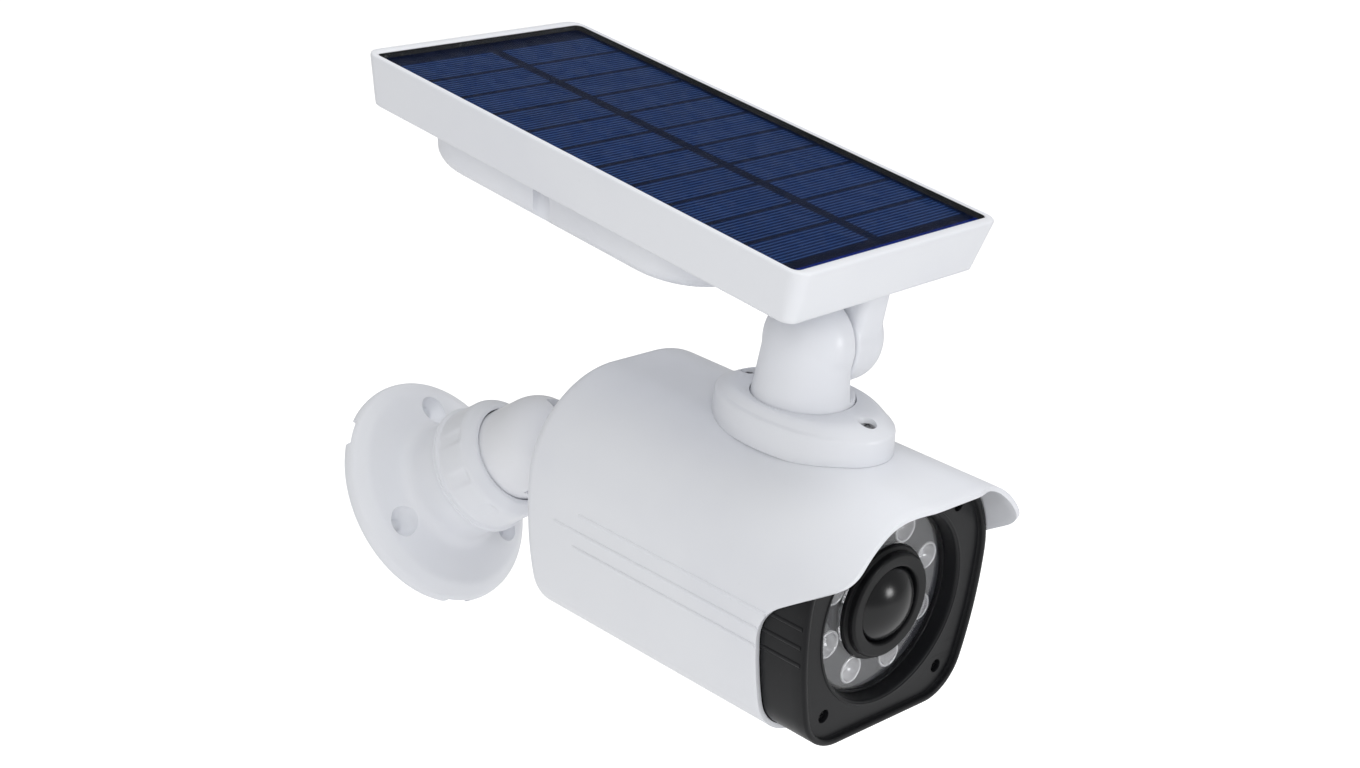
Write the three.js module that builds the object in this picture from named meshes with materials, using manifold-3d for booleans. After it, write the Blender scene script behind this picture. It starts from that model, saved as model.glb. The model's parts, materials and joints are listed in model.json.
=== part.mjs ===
// A solar powered security camera on a wall bracket: a hooded bullet housing with a black
// lens bezel, a solar panel head on a swivelling neck, and a slotted swivel head in a
// locking ring on a round wall flange. Millimetres, +Z up, lens looking along -Y.
// The origin is the centre of the wall flange's back face.
import * as THREE from 'three';
import { mergeVertices } from 'three/addons/utils/BufferGeometryUtils.js';
import Module from 'manifold-3d';

const wasm = await Module();
wasm.setup();

// ---------------------------------------------------------------- driving dimensions
const GAP = 0.3;               // clearance between neighbouring pieces
const TURN_GAP = 0.4;          // radial clearance of turning pieces
const REACH = 6;               // how far a cutter runs past the wall it opens
const deg = THREE.MathUtils.degToRad;

// How the pieces stand at rest.
const pose = {
  armBend: 39.2,               // stem leans this far from the bracket axis
  bodyRoll: 17.35,             // bracket's tilt plane is turned this far about the stem
  panelYaw: 2.95,
  panelPitch: 6.85,
};

// Wall bracket, measured from the wall along the bracket axis.
const SLIP = 0.5;              // radial clearance of the head in its socket
const head = { r: 18.4, pivot: 61, collarFoot: 36.8, collarTop: 40.2, tail: 28, slotW: 9,
  slotFloor: 8.6, slotReach: 45 };
head.collarR = head.r + 2.5;
const flange = { r: 46.2, rimH: 7.4, bossFoot: 13, bossTop: 27.4, floor: 3, threadTop: 36.4,
  boreFloor: 24, holeR: 2.6, holes: 3, pocketR: 5.2, notchW: 12, notchD: 3.2, wall: 2.6 };
flange.boreR = head.r + SLIP;
flange.threadR = head.collarR + SLIP;
flange.bossR = flange.threadR + 2;
flange.holePcr = (flange.r + flange.bossR - 4.6) / 2;
const ring = { foot: 27.9, lipH: 2.4, top: 47.8, chamfer: 3.6, flutes: 12, fluteR: 3.2,
  fluteDepth: 0.5 };
ring.r = flange.threadR + 3;
ring.lipR = ring.r + 1.2;
const pin = { r: 2.5, halfLength: head.r - 3.8 };
const washer = { t: 1.4, boreR: head.r - 8.4 };

// Stem, measured from the pivot towards the housing.
const stem = { eyeR: 7.7, tongueH: 11, tongueL: head.r + 5.6, shaftR: 8, flangeR: 15.5, flangeT: 3.6,
  length: 45, threadR: 7.4, threadL: 13, boreR: 3.4 };
const stemNut = { acrossFlats: 24, t: 5.5 };
const stemSeal = { r: 13.5, t: 1.2 };

// Housing section: flat crown, wide crown corners, bulging sides, flat belly.
const section = { halfW: 48.3, crown: 47.3, belly: 46, crownR: 38, sideR: 150, bellyR: 20.5 };
const shell = { length: 116.3, wall: 1.8, rearWall: 2.4, rearR: 9, stemDrop: 5.5 };
// Hood: how far it stands ahead of the housing's lower front edge, at each height.
const hood = { riseFrom: -6, bendR: 11, sideReach: 33.9, sideFrom: 27, sideTo: 42, crownReach: 38.2 };
const rib = { heights: [5.5, -1.4, -8], starts: [29, 16, 26], proud: 0.7, w: 1.5 };

// Black bezel around the lens.
const bezel = { reach: 17.5, rimProud: 2, rimW: 2.6, faceT: 3, skirtWall: 1.8,
  recessR: 34.3, seatDepth: 4.6, screwX: section.halfW - 18.9, screwLowZ: 14 - section.belly,
  screwHighZ: section.crown - 17.3, screwR: 2.3, bossR: 4.6, bossL: 12 };
bezel.seatR = bezel.recessR - 0.9;
bezel.throatR = bezel.seatR - 1.2;
const bezelScrew = { headR: 2.05, headT: 1.5, r: 1.35, l: 12, sink: 2.2 };
const bezelSeal = { w: 1.6, t: 1.4 };

// Lens window, lamp ring and sensor.
const barrel = { r: 19, faceSet: 0.6, footSet: 3.4, l: 19 };
barrel.bore = barrel.r - 4.7;
barrel.footR = barrel.r + 1.6;
const windowPane = { t: 2 };
const reflector = { t: 7.2, r: bezel.throatR - GAP };
const lamp = { count: 8, pcr: (barrel.r + reflector.r) / 2 + 0.15, l: 6.4 };
lamp.r = (reflector.r - barrel.r) / 2 - 1.55;
const lampBoard = { t: 1.6 };
const dome = { r: barrel.bore - 1, rise: 5.6, wall: 1.1, set: 1.4, lip: 1.4 };
const sensor = { r: 4.6, h: 4.2, boardT: 1.4 };

// Collar and neck that carry the panel; heights above the lens axis.
const neck = { fromRear: 84.3, footR: 18, seam: 3.6, stubFoot: section.crown - 13.3 };
neck.topR = neck.footR - 1.4;
neck.barrelR = neck.footR - 1;
neck.barrelFrom = -(neck.barrelR - 0.6);
neck.stubR = neck.footR - 5.8;
neck.boreR = neck.stubR - 5.2;
const collar = { fromRear: 86.3, halfL: neck.footR + 19.3, halfW: neck.footR + 6, squareness: 2.3,
  edge: section.crown + 8.9, top: section.crown + 12.7, screwHeadR: 2.7, screwR: 1.4, screwSink: 2.6 };
collar.plateauL = collar.halfL - 11.8;
collar.plateauW = collar.halfW - 4.4;
collar.socketFloor = collar.top - 3.2;
collar.screwPitch = collar.halfL - 10.3;
neck.hingeH = collar.top + neck.barrelR + 2;
const neckNut = { r: neck.stubR + 4.3, t: 4 };
bezel.skirtBack = Math.min(11, shell.length - neck.fromRear - neckNut.r - 4);
const hinge = { knuckleTo: neck.seam + 19.7, screwR: 2.4, headR: 5, headT: 3, washerR: 11, washerT: 0.9,
  insertR: 4.4, insertL: 11 };

// Panel head, measured from the hinge axis; heights down from the panel's face.
const panel = { w: 107.4, l: 208, rise: neck.barrelR + 27, side: 4.7, depth: 18.6, wall: 1.8, floor: 2,
  draft: 3.2, cornerR: 6, rimW: 2.2, rimEnd: 4.2, rimProud: 0.8, well: 5.2 };
panel.back = panel.l / 2 - 26;
const glass = { t: 1.6 };
const cells = { t: 1.6 };
const cover = { halfW: panel.w / 2 - 13.7, rear: panel.l / 2 - 8, cornerR: 30, depth: 18.5,
  wall: 1.8, draft: 4, footR: 7, pocketR: 5, screwR: 2.3, screwHeadT: 1.6 };
cover.front = neck.barrelR + 9 - panel.back;
const cell18 = { r: 9, l: 65, gap: 2 };
const chargeBoard = { w: 34, l: (cover.rear - cover.front) / 2 - cell18.l / 2 - 9.5, t: 1.6 };

const mainBoard = { w: 56, l: shell.length - 54.3, t: 1.6, drop: 22 };
const button = { fromRear: 40, r: 5, proud: 1.4, t: 4.6, travel: 1.2, flangeR: 6.6, flangeT: 1.2 };

// ---------------------------------------------------------------- solids
const round = 28;              // facets of a large round
const small = 14;              // facets of a small round

function solid(geometry) {
  const bare = geometry.index ? geometry.clone() : geometry;
  bare.deleteAttribute('normal');
  bare.deleteAttribute('uv');
  const merged = mergeVertices(bare, 1e-4);
  return new wasm.Manifold(new wasm.Mesh({
    numProp: 3,
    vertProperties: new Float32Array(merged.attributes.position.array),
    triVerts: new Uint32Array(merged.index.array),
  }));
}

function surface(shape) {
  const mesh = shape.getMesh();
  const flat = new THREE.BufferGeometry();
  flat.setAttribute('position', new THREE.BufferAttribute(new Float32Array(mesh.vertProperties), 3));
  flat.setIndex(new THREE.BufferAttribute(new Uint32Array(mesh.triVerts), 1));
  flat.computeVertexNormals();
  return flat;
}

const moved = (geometry, x, y, z) => geometry.translate(x, y, z);
const boxAt = (w, l, h, x, y, z) => solid(moved(new THREE.BoxGeometry(w, l, h), x, y, z));

// A round of revolution about Z from [radius, height] pairs.
function turned(pairs, facets = round) {
  return solid(new THREE.LatheGeometry(pairs.map(([r, z]) => new THREE.Vector2(r, z)), facets)
    .rotateX(Math.PI / 2));
}

// A rod about Z from z0 to z1.
const rod = (r, z0, z1, facets = small) => turned([[0, z0], [r, z0], [r, z1], [0, z1]], facets);
const tube = (r, bore, z0, z1, facets = round) =>
  turned([[bore, z0], [r, z0], [r, z1], [bore, z1], [bore, z0]], facets);

// The same rods along X and along Y (from y0 back to y1, y0 < y1).
const rodX = (r, x0, x1, y, z, facets = small) =>
  solid(moved(new THREE.CylinderGeometry(r, r, x1 - x0, facets).rotateZ(Math.PI / 2),
    (x0 + x1) / 2, y, z));
const rodY = (r, y0, y1, x, z, facets = small) =>
  solid(moved(new THREE.CylinderGeometry(r, r, y1 - y0, facets), x, (y0 + y1) / 2, z));

const joined = (list) => list.reduce((sum, one) => sum.add(one));

// Revolution about the Y axis: [radius, y] pairs.
function turnedY(pairs, facets = round) {
  return solid(new THREE.LatheGeometry(pairs.map(([r, y]) => new THREE.Vector2(r, y)), facets));
}

// A flat outline in X and Z carried from y0 to y1.
function plateY(points, y0, y1) {
  const shape = new THREE.Shape(points.map(([x, z]) => new THREE.Vector2(x, z)));
  return solid(new THREE.ExtrudeGeometry(shape, { depth: y1 - y0, bevelEnabled: false })
    .rotateX(Math.PI / 2).translate(0, y1, 0));
}

// A flat outline in Y and Z carried from x0 to x1.
function plateX(shape, x0, x1, curveSegments = 8) {
  return solid(new THREE.ExtrudeGeometry(shape, { depth: x1 - x0, bevelEnabled: false, curveSegments })
    .rotateZ(Math.PI / 2).rotateY(Math.PI / 2).translate(x0, 0, 0));
}

// A skin over rings with equal counts of points, closed by a fan at each end.
function loft(given) {
  const middle = (list) => list.reduce((sum, p) => sum.add(p), new THREE.Vector3())
    .divideScalar(list.length);
  const count = given[0].length;
  const start = middle(given[0]);
  const way = middle(given[given.length - 1]).sub(start);
  const winding = new THREE.Vector3();
  given[0].forEach((p, i) => {
    const next = given[0][(i + 1) % count];
    winding.add(p.clone().sub(start).cross(next.clone().sub(start)));
  });
  const rings = winding.dot(way) < 0 ? given.map((list) => [...list].reverse()) : given;
  const points = rings.flat();
  const faces = [];
  for (let k = 0; k + 1 < rings.length; k += 1) {
    for (let i = 0; i < count; i += 1) {
      const a = k * count + i;
      const b = k * count + (i + 1) % count;
      faces.push(a, b, b + count, a, b + count, a + count);
    }
  }
  const first = points.length;
  points.push(middle(rings[0]), middle(rings[rings.length - 1]));
  const last = (rings.length - 1) * count;
  for (let i = 0; i < count; i += 1) {
    const j = (i + 1) % count;
    faces.push(first, j, i, first + 1, last + i, last + j);
  }
  const skin = new THREE.BufferGeometry();
  const places = points.flatMap((p) => [p.x, p.y, p.z]);
  skin.setAttribute('position', new THREE.Float32BufferAttribute(places, 3));
  skin.setIndex(faces);
  return solid(skin);
}

function arc(cx, cz, r, from, to, steps) {
  const points = [];
  for (let i = 0; i <= steps; i += 1) {
    const a = from + (to - from) * i / steps;
    points.push([cx + r * Math.cos(a), cz + r * Math.sin(a)]);
  }
  return points;
}

// Housing outline in X and Z, moved inwards by inset; anticlockwise seen from the front.
function outline(inset) {
  const { halfW, crown, belly, crownR, sideR, bellyR } = section;
  const sideTop = crown - crownR;
  const turn = Math.asin((sideTop + belly - bellyR) / (sideR - bellyR));
  const bellyX = halfW - sideR + (sideR - bellyR) * Math.cos(turn);
  const half = [
    ...arc(bellyX, bellyR - belly, bellyR - inset, -Math.PI / 2, -turn, 4),
    ...arc(halfW - sideR, sideTop, sideR - inset, -turn, 0, 3).slice(1),
    ...arc(halfW - crownR, sideTop, crownR - inset, 0, Math.PI / 2, 7).slice(1),
  ];
  return [...half, ...half.map(([x, z]) => [-x, z]).reverse()];
}

const outlineRing = (inset, y) => outline(inset).map(([x, z]) => new THREE.Vector3(x, y, z));

// Half width of the housing at a height beside the lens axis.
function sideAt(z) {
  const sideTop = section.crown - section.crownR;
  const fall = sideTop - z;
  return section.halfW - section.sideR + Math.sqrt(section.sideR ** 2 - fall ** 2);
}

// Rounded outline, a super-ellipse in X and Y.
function oval(halfW, halfL, power, steps, y, z) {
  const points = [];
  for (let i = 0; i < steps; i += 1) {
    const a = 2 * Math.PI * i / steps;
    const c = Math.cos(a);
    const s = Math.sin(a);
    points.push(new THREE.Vector3(halfW * Math.sign(c) * Math.abs(c) ** (2 / power),
      y + halfL * Math.sign(s) * Math.abs(s) ** (2 / power), z));
  }
  return points;
}

// Rectangle with round corners in X and Y, at height z.
function roundedRing(x0, x1, y0, y1, r, z, steps = 5) {
  const corners = [[x1 - r, y0 + r, -Math.PI / 2], [x1 - r, y1 - r, 0],
    [x0 + r, y1 - r, Math.PI / 2], [x0 + r, y0 + r, Math.PI]];
  return corners.flatMap(([cx, cy, from]) => arc(cx, cy, r, from, from + Math.PI / 2, steps))
    .map(([x, y]) => new THREE.Vector3(x, y, z));
}

// ---------------------------------------------------------------- materials
const finish = (color, roughness, metalness = 0) =>
  new THREE.MeshStandardMaterial({ color, roughness, metalness });
const white = finish(0xe8e9ee, 0.38);
const glossWhite = finish(0xeeeef2, 0.16);
const black = finish(0x232428, 0.42);
const glossBlack = finish(0x0b0b0d, 0.08);
const clear = finish(0xdfe3e8, 0.05);
const darkGrey = finish(0x55575c, 0.35);
const steel = finish(0xb9bbbf, 0.3, 1);
const brass = finish(0xb48a3c, 0.35, 1);
const rubber = finish(0x1b1b1c, 0.8);
const board = finish(0x1f6b3a, 0.55);
const solarBlue = finish(0x1b2c8c, 0.12);
const cellGreen = finish(0x2f8f9d, 0.4);

const group = new THREE.Group();
const bracketGroup = new THREE.Group();
const stemGroup = new THREE.Group();
const cameraGroup = new THREE.Group();
const panelGroup = new THREE.Group();

function put(parent, name, shape, material) {
  const mesh = new THREE.Mesh(surface(shape), material);
  mesh.name = name;
  parent.add(mesh);
}

// ---------------------------------------------------------------- wall bracket
function wallFlange() {
  const f = flange;
  const outer = turned([[0, 0], [f.r - 0.6, 0], [f.r, 0.8], [f.r - 0.3, f.rimH - 1.6],
    [f.r - 1.6, f.rimH], [f.r - 6, f.rimH + 0.9], [f.bossR + 7, f.bossFoot - 2.6],
    [f.bossR + 1.6, f.bossFoot], [f.bossR, f.bossFoot + 2.4], [f.bossR, f.bossTop],
    [f.threadR, f.bossTop], [f.threadR, f.threadTop], [0, f.threadTop]]);
  const body = outer.subtract(rod(f.boreR, f.boreFloor, f.threadTop + REACH, round))
    .subtract(rod(washer.boreR, f.floor + f.wall, f.boreFloor + REACH, round));
  const hollow = tube(f.r - f.wall, f.bossR + 0.6, -REACH, f.rimH - f.wall - 0.6);
  const posts = [];
  const bores = [];
  for (let i = 0; i < f.holes; i += 1) {
    const a = 2 * Math.PI * i / f.holes + Math.PI / 2;
    const x = f.holePcr * Math.cos(a);
    const y = f.holePcr * Math.sin(a);
    posts.push(rod(f.pocketR + f.wall, 0, f.rimH).translate([x, y, 0]));
    bores.push(rod(f.holeR, -REACH, f.bossTop).translate([x, y, 0]),
      rod(f.pocketR, f.rimH - 2.6, f.bossTop).translate([x, y, 0]));
    const b = a + Math.PI / f.holes;
    bores.push(boxAt(f.notchW, REACH, 2 * f.notchD, 0, f.r, 0)
      .rotate([0, 0, THREE.MathUtils.radToDeg(b) - 90]));
  }
  return body.subtract(hollow.subtract(joined(posts))).subtract(joined(bores));
}

function lockingRing() {
  const g = ring;
  const inner = flange.threadR + GAP;
  let body = turned([[inner, g.foot], [g.lipR, g.foot], [g.lipR, g.foot + g.lipH],
    [g.r, g.foot + g.lipH + 0.8], [g.r, g.top - g.chamfer], [g.r - 1, g.top - 1],
    [g.r - 2.4, g.top], [head.r + TURN_GAP, g.top], [head.r + TURN_GAP, head.collarTop + GAP],
    [inner, head.collarTop + GAP], [inner, g.foot]]);
  for (let i = 0; i < g.flutes; i += 1) {
    const a = 2 * Math.PI * i / g.flutes;
    const r = g.r + g.fluteR - g.fluteDepth;
    body = body.subtract(rod(g.fluteR, g.foot + g.lipH + 1.6, g.top - g.chamfer - 0.8, 12)
      .translate([r * Math.cos(a), r * Math.sin(a), 0]));
  }
  return body;
}

// Domed head with a slot from the low side over the top, and a cable bore up its tail.
function swivelHead() {
  const h = head;
  const pairs = [[0, h.tail], [h.r, h.tail], [h.r, h.collarFoot], [h.collarR, h.collarFoot],
    [h.collarR, h.collarTop], [h.r, h.collarTop], ...arc(0, h.pivot, h.r, 0, Math.PI / 2, 7)];
  pairs[pairs.length - 1][0] = 0;
  const slot = new THREE.Shape();
  const reach = deg(h.slotReach);
  const far = h.r + 2 * REACH;
  slot.moveTo(-far, h.pivot - h.slotFloor);
  slot.lineTo(0, h.pivot - h.slotFloor);
  slot.absarc(0, h.pivot, h.slotFloor, -Math.PI / 2, 0, false);
  slot.lineTo(2 * h.r * Math.sin(reach) - h.slotFloor, h.pivot + 2 * h.r * Math.cos(reach));
  slot.lineTo(-far, h.pivot + 2 * h.r * Math.cos(reach));
  slot.closePath();
  return turned(pairs)
    .subtract(plateX(slot, -h.slotW / 2, h.slotW / 2))
    .subtract(rodX(pin.r + GAP, -pin.halfLength - GAP, pin.halfLength + GAP, 0, h.pivot))
    .subtract(rod(stem.boreR, h.tail - REACH, h.pivot));
}

// Eye, tongue, round shaft, flange and threaded end, along -Y from the pivot.
function stemBody() {
  const s = stem;
  const thick = head.slotW - 2 * GAP;
  const tip = s.length + shell.rearWall + s.threadL;
  const tongue = boxAt(thick, s.tongueL, s.tongueH, 0, -s.tongueL / 2, 0);
  return rodX(s.eyeR, -thick / 2, thick / 2, 0, 0, 20)
    .add(tongue)
    .add(rodY(s.shaftR, -s.length + 1, -s.tongueL + 3, 0, 0, 20))
    .add(rodY(s.flangeR, -s.length + GAP, -s.length + s.flangeT, 0, 0, round))
    .add(rodY(s.threadR, -tip, -s.length + 1, 0, 0, 20))
    .subtract(rodX(pin.r + GAP, -thick, thick, 0, 0))
    .subtract(rodY(s.boreR, -tip - REACH, -s.eyeR - 2, 0, 0));
}

put(bracketGroup, 'wall_flange', wallFlange(), white);
put(bracketGroup, 'locking_ring', lockingRing(), white);
put(bracketGroup, 'swivel_head', swivelHead(), glossWhite);
put(bracketGroup, 'friction_washer',
  tube(head.r + 0.1, washer.boreR, flange.boreFloor + GAP, flange.boreFloor + GAP + washer.t), steel);
put(bracketGroup, 'tilt_pin', rodX(pin.r, -pin.halfLength, pin.halfLength, 0, head.pivot), steel);
bracketGroup.rotation.set(deg(90 - pose.armBend), deg(pose.bodyRoll), 0, 'YXZ');

put(stemGroup, 'stem', stemBody(), white);
const nutFoot = -stem.length - shell.rearWall - stemSeal.t - 2 * GAP;
const nutR = stemNut.acrossFlats / Math.sqrt(3);
put(stemGroup, 'stem_seal', rodY(stemSeal.r, nutFoot + GAP, nutFoot + GAP + stemSeal.t, 0, 0, round)
  .subtract(rodY(stem.threadR + GAP, nutFoot - REACH, REACH, 0, 0, 20)), rubber);
put(stemGroup, 'stem_nut', rodY(nutR, nutFoot - stemNut.t, nutFoot, 0, 0, 6)
  .subtract(rodY(stem.threadR + GAP, nutFoot - REACH - stemNut.t, REACH, 0, 0, 20)), brass);

// ---------------------------------------------------------------- housing
// Housing frame: origin on the lens axis at the rear face.
const frontEdge = -shell.length;
const faceY = frontEdge - bezel.reach;

// Everything ahead of the front edge and below the hood, seen from the side.
function hoodCut() {
  const h = hood;
  const far = 3 * section.crown;
  const side = frontEdge - h.sideReach;
  const shape = new THREE.Shape();
  shape.moveTo(frontEdge, -far);
  shape.lineTo(frontEdge, h.riseFrom);
  shape.quadraticCurveTo(frontEdge, h.riseFrom + h.bendR, frontEdge - h.bendR, h.riseFrom + 1.6 * h.bendR);
  shape.lineTo(side + 0.6 * h.bendR, h.sideFrom - 0.4 * h.bendR);
  shape.quadraticCurveTo(side, h.sideFrom, side, h.sideFrom + 0.5 * h.bendR);
  shape.lineTo(side, h.sideTo);
  shape.quadraticCurveTo(side, section.crown - 1, frontEdge - h.crownReach, section.crown);
  shape.lineTo(frontEdge - h.crownReach, far);
  shape.lineTo(frontEdge - far, far);
  shape.lineTo(frontEdge - far, -far);
  shape.closePath();
  return plateX(shape, -section.halfW - REACH, section.halfW + REACH, 6);
}

function ribs(to) {
  const list = [];
  rib.heights.forEach((z, i) => {
    const from = -rib.starts[i];
    for (const side of [-1, 1]) {
      const x = side * (sideAt(z) - 0.6 + rib.proud / 2);
      list.push(boxAt(1.2 + rib.proud, from - to, rib.w, x, (from + to) / 2, z));
    }
  });
  return joined(list);
}

function housingShell() {
  const s = shell;
  const reachY = frontEdge - hood.crownReach - REACH;
  const rearRings = [];
  for (let i = 0; i <= 3; i += 1) {
    const a = Math.PI / 2 * i / 3;
    rearRings.push(outlineRing(s.rearR * (1 - Math.sin(a)), -s.rearR * (1 - Math.cos(a))));
  }
  const outside = loft([outlineRing(0, reachY), ...rearRings.reverse()]);
  const innerR = s.rearR - s.wall;
  const inside = loft([outlineRing(s.wall, reachY - REACH), outlineRing(s.wall, -s.rearWall - innerR),
    outlineRing(s.wall + 0.3 * innerR, -s.rearWall - 0.3 * innerR),
    outlineRing(s.wall + innerR, -s.rearWall)]);
  const neckY = -neck.fromRear;
  let body = outside.subtract(inside)
    .add(ribs(frontEdge - 2 * hood.bendR))
    .subtract(hoodCut())
    .subtract(rodY(stem.threadR + TURN_GAP, -REACH - s.rearWall, REACH, 0, -s.stemDrop, 20))
    .subtract(rod(neck.stubR + TURN_GAP, 0, 2 * section.crown, round).translate([0, neckY, 0]))
    .subtract(rod(button.r + TURN_GAP, -2 * section.belly, 0, 24).translate([0, -button.fromRear, 0]));
  for (const side of [-1, 1]) {
    const y = -collar.fromRear + side * collar.screwPitch;
    body = body.subtract(rod(collar.screwR + GAP, 0, 2 * section.crown, 12).translate([0, y, 0]));
  }
  return body;
}

function bezelBody() {
  const b = bezel;
  const inset = shell.wall + GAP;
  const rimY = faceY - b.rimProud;
  const backY = frontEdge + b.skirtBack;
  const screws = [];
  for (const side of [-1, 1]) {
    for (const z of [b.screwLowZ, b.screwHighZ]) {
      screws.push([side * b.screwX, z]);
    }
  }
  const inner = inset + b.skirtWall;
  let body = loft([outlineRing(inset + 0.5, rimY), outlineRing(inset, rimY + 0.5),
    outlineRing(inset, backY)])
    .subtract(loft([outlineRing(inset + b.rimW, rimY - REACH), outlineRing(inset + b.rimW, faceY)]))
    .subtract(loft([outlineRing(inner, faceY + b.faceT), outlineRing(inner, backY + REACH)]));
  // Tube that carries the window and the lamp ring behind the face.
  const core = b.throatR - 2;
  const ledge = faceY + b.seatDepth + windowPane.t + 2 * GAP;
  body = body.add(turnedY([[core, faceY + 1], [b.seatR + 2.4, faceY + 1], [b.seatR + 2.4, backY - 1],
    [b.seatR + 0.8, backY - 1], [b.seatR + 0.8, ledge + 1.5], [core, ledge + 1.5], [core, faceY + 1]]));
  for (const [x, z] of screws) {
    body = body.add(rodY(b.bossR, faceY + 1, faceY + b.bossL, x, z));
  }
  body = body.subtract(turnedY([[0, faceY - REACH], [b.recessR + 0.6, faceY - REACH], [b.recessR, faceY],
    [b.seatR, faceY + b.seatDepth], [b.seatR, ledge], [0, ledge]]));
  body = body.subtract(rodY(b.throatR, faceY, backY + REACH, 0, 0, round));
  for (const [x, z] of screws) {
    body = body.subtract(rodY(b.screwR, faceY - REACH, faceY + bezelScrew.sink + bezelScrew.headT, x, z))
      .subtract(rodY(bezelScrew.r + GAP, faceY, faceY + b.bossL + REACH, x, z, 12));
  }
  return body;
}

function bezelSealBody() {
  const outer = shell.wall + GAP;
  const inner = outer + bezelSeal.w + 0.4;
  const y = frontEdge + bezel.skirtBack + GAP;
  return loft([outlineRing(outer, y), outlineRing(outer, y + bezelSeal.t)])
    .subtract(loft([outlineRing(inner, y - REACH), outlineRing(inner, y + REACH)]));
}

put(cameraGroup, 'housing', housingShell(), white);
put(cameraGroup, 'bezel', bezelBody(), black);
put(cameraGroup, 'bezel_seal', bezelSealBody(), rubber);

const screwNames = ['lower_left', 'upper_left', 'lower_right', 'upper_right'];
let screwIndex = 0;
for (const side of [-1, 1]) {
  for (const z of [bezel.screwLowZ, bezel.screwHighZ]) {
    const x = side * bezel.screwX;
    const headY = faceY + bezelScrew.sink;
    const shape = rodY(bezelScrew.headR, headY - bezelScrew.headT + 0.6, headY + 0.6, x, z, 12)
      .add(rodY(bezelScrew.r, headY, headY + bezelScrew.l, x, z, 8));
    put(cameraGroup, `bezel_screw_${screwNames[screwIndex]}`, shape, steel);
    screwIndex += 1;
  }
}

// ---------------------------------------------------------------- window, lamps, sensor
const paneY = faceY + bezel.seatDepth + GAP;
const reflectorY = paneY + windowPane.t + GAP;
const lampBoardY = reflectorY + reflector.t + GAP;
put(cameraGroup, 'window', turnedY([[barrel.footR + GAP, paneY], [bezel.seatR - GAP, paneY],
  [bezel.seatR - GAP, paneY + windowPane.t], [barrel.footR + GAP, paneY + windowPane.t],
  [barrel.footR + GAP, paneY]]), clear);

function reflectorBody() {
  let body = turnedY([[barrel.r + GAP, reflectorY], [reflector.r, reflectorY],
    [reflector.r, reflectorY + reflector.t], [barrel.r + GAP, reflectorY + reflector.t],
    [barrel.r + GAP, reflectorY]]);
  for (let i = 0; i < lamp.count; i += 1) {
    const a = 2 * Math.PI * (i + 0.5) / lamp.count;
    body = body.subtract(rodY(lamp.r + GAP, reflectorY - REACH, reflectorY + reflector.t + REACH,
      lamp.pcr * Math.cos(a), lamp.pcr * Math.sin(a)));
  }
  return body;
}
put(cameraGroup, 'reflector', reflectorBody(), darkGrey);

function lampLens(i) {
  const a = 2 * Math.PI * (i + 0.5) / lamp.count;
  const top = reflectorY + 0.2;
  return turnedY([[0, top], [lamp.r, top], [lamp.r, top + 1.4], [2.8, top + lamp.l],
    [0, top + lamp.l]], 12)
    .translate([lamp.pcr * Math.cos(a), 0, lamp.pcr * Math.sin(a)]);
}
for (let i = 0; i < lamp.count; i += 1) {
  put(cameraGroup, `lamp_lens_${i + 1}`, lampLens(i), clear);
}
const barrelBack = faceY + barrel.faceSet + barrel.l;
put(cameraGroup, 'lamp_board', turnedY([[barrel.r + GAP, lampBoardY], [reflector.r, lampBoardY],
  [reflector.r, lampBoardY + lampBoard.t], [barrel.r + GAP, lampBoardY + lampBoard.t],
  [barrel.r + GAP, lampBoardY]]), board);

const sensorBore = barrel.bore - 2.4;

// Stepped black barrel around the sensor dome.
function barrelBody() {
  const b = barrel;
  const y = faceY + b.faceSet;
  const foot = faceY + b.footSet;
  return turnedY([[b.bore, y], [b.r - 0.5, y], [b.r, y + 0.5], [b.r, foot], [b.footR, foot],
    [b.footR, paneY + windowPane.t - 0.6], [b.r, paneY + windowPane.t], [b.r, barrelBack],
    [sensorBore, barrelBack], [sensorBore, y + dome.set + 4.6], [b.bore, y + dome.set + 4.6],
    [b.bore, y]]);
}
put(cameraGroup, 'sensor_barrel', barrelBody(), black);

// A cap of a sphere with a plain rim, hollow from behind.
function domeBody() {
  const d = dome;
  const y = faceY + barrel.faceSet + d.set;
  const ball = (d.r ** 2 + d.rise ** 2) / (2 * d.rise);
  const half = Math.asin(d.r / ball);
  const outer = [];
  const inner = [];
  for (let i = 0; i <= 4; i += 1) {
    const a = half * i / 4;
    outer.push([ball * Math.sin(a), y - d.rise + ball * (1 - Math.cos(a))]);
    inner.push([(ball - d.wall) * Math.sin(a), y - d.rise + d.wall + (ball - d.wall) * (1 - Math.cos(a))]);
  }
  outer[0][0] = 0;
  inner[0][0] = 0;
  return turnedY([...outer, [d.r, y + d.lip], [d.r - d.wall, y + d.lip], ...inner.reverse()], 24);
}
put(cameraGroup, 'sensor_dome', domeBody(), glossBlack);
const sensorBoardY = barrelBack - 4;
put(cameraGroup, 'sensor_board',
  rodY(sensorBore - GAP, sensorBoardY, sensorBoardY + sensor.boardT, 0, 0, round), board);
put(cameraGroup, 'infrared_sensor',
  rodY(sensor.r, sensorBoardY - GAP - sensor.h, sensorBoardY - GAP, 0, 0), steel);

const boardY0 = frontEdge + 34;
put(cameraGroup, 'main_board', boxAt(mainBoard.w, mainBoard.l, mainBoard.t, 0,
  boardY0 + mainBoard.l / 2, -mainBoard.drop), board);

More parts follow.
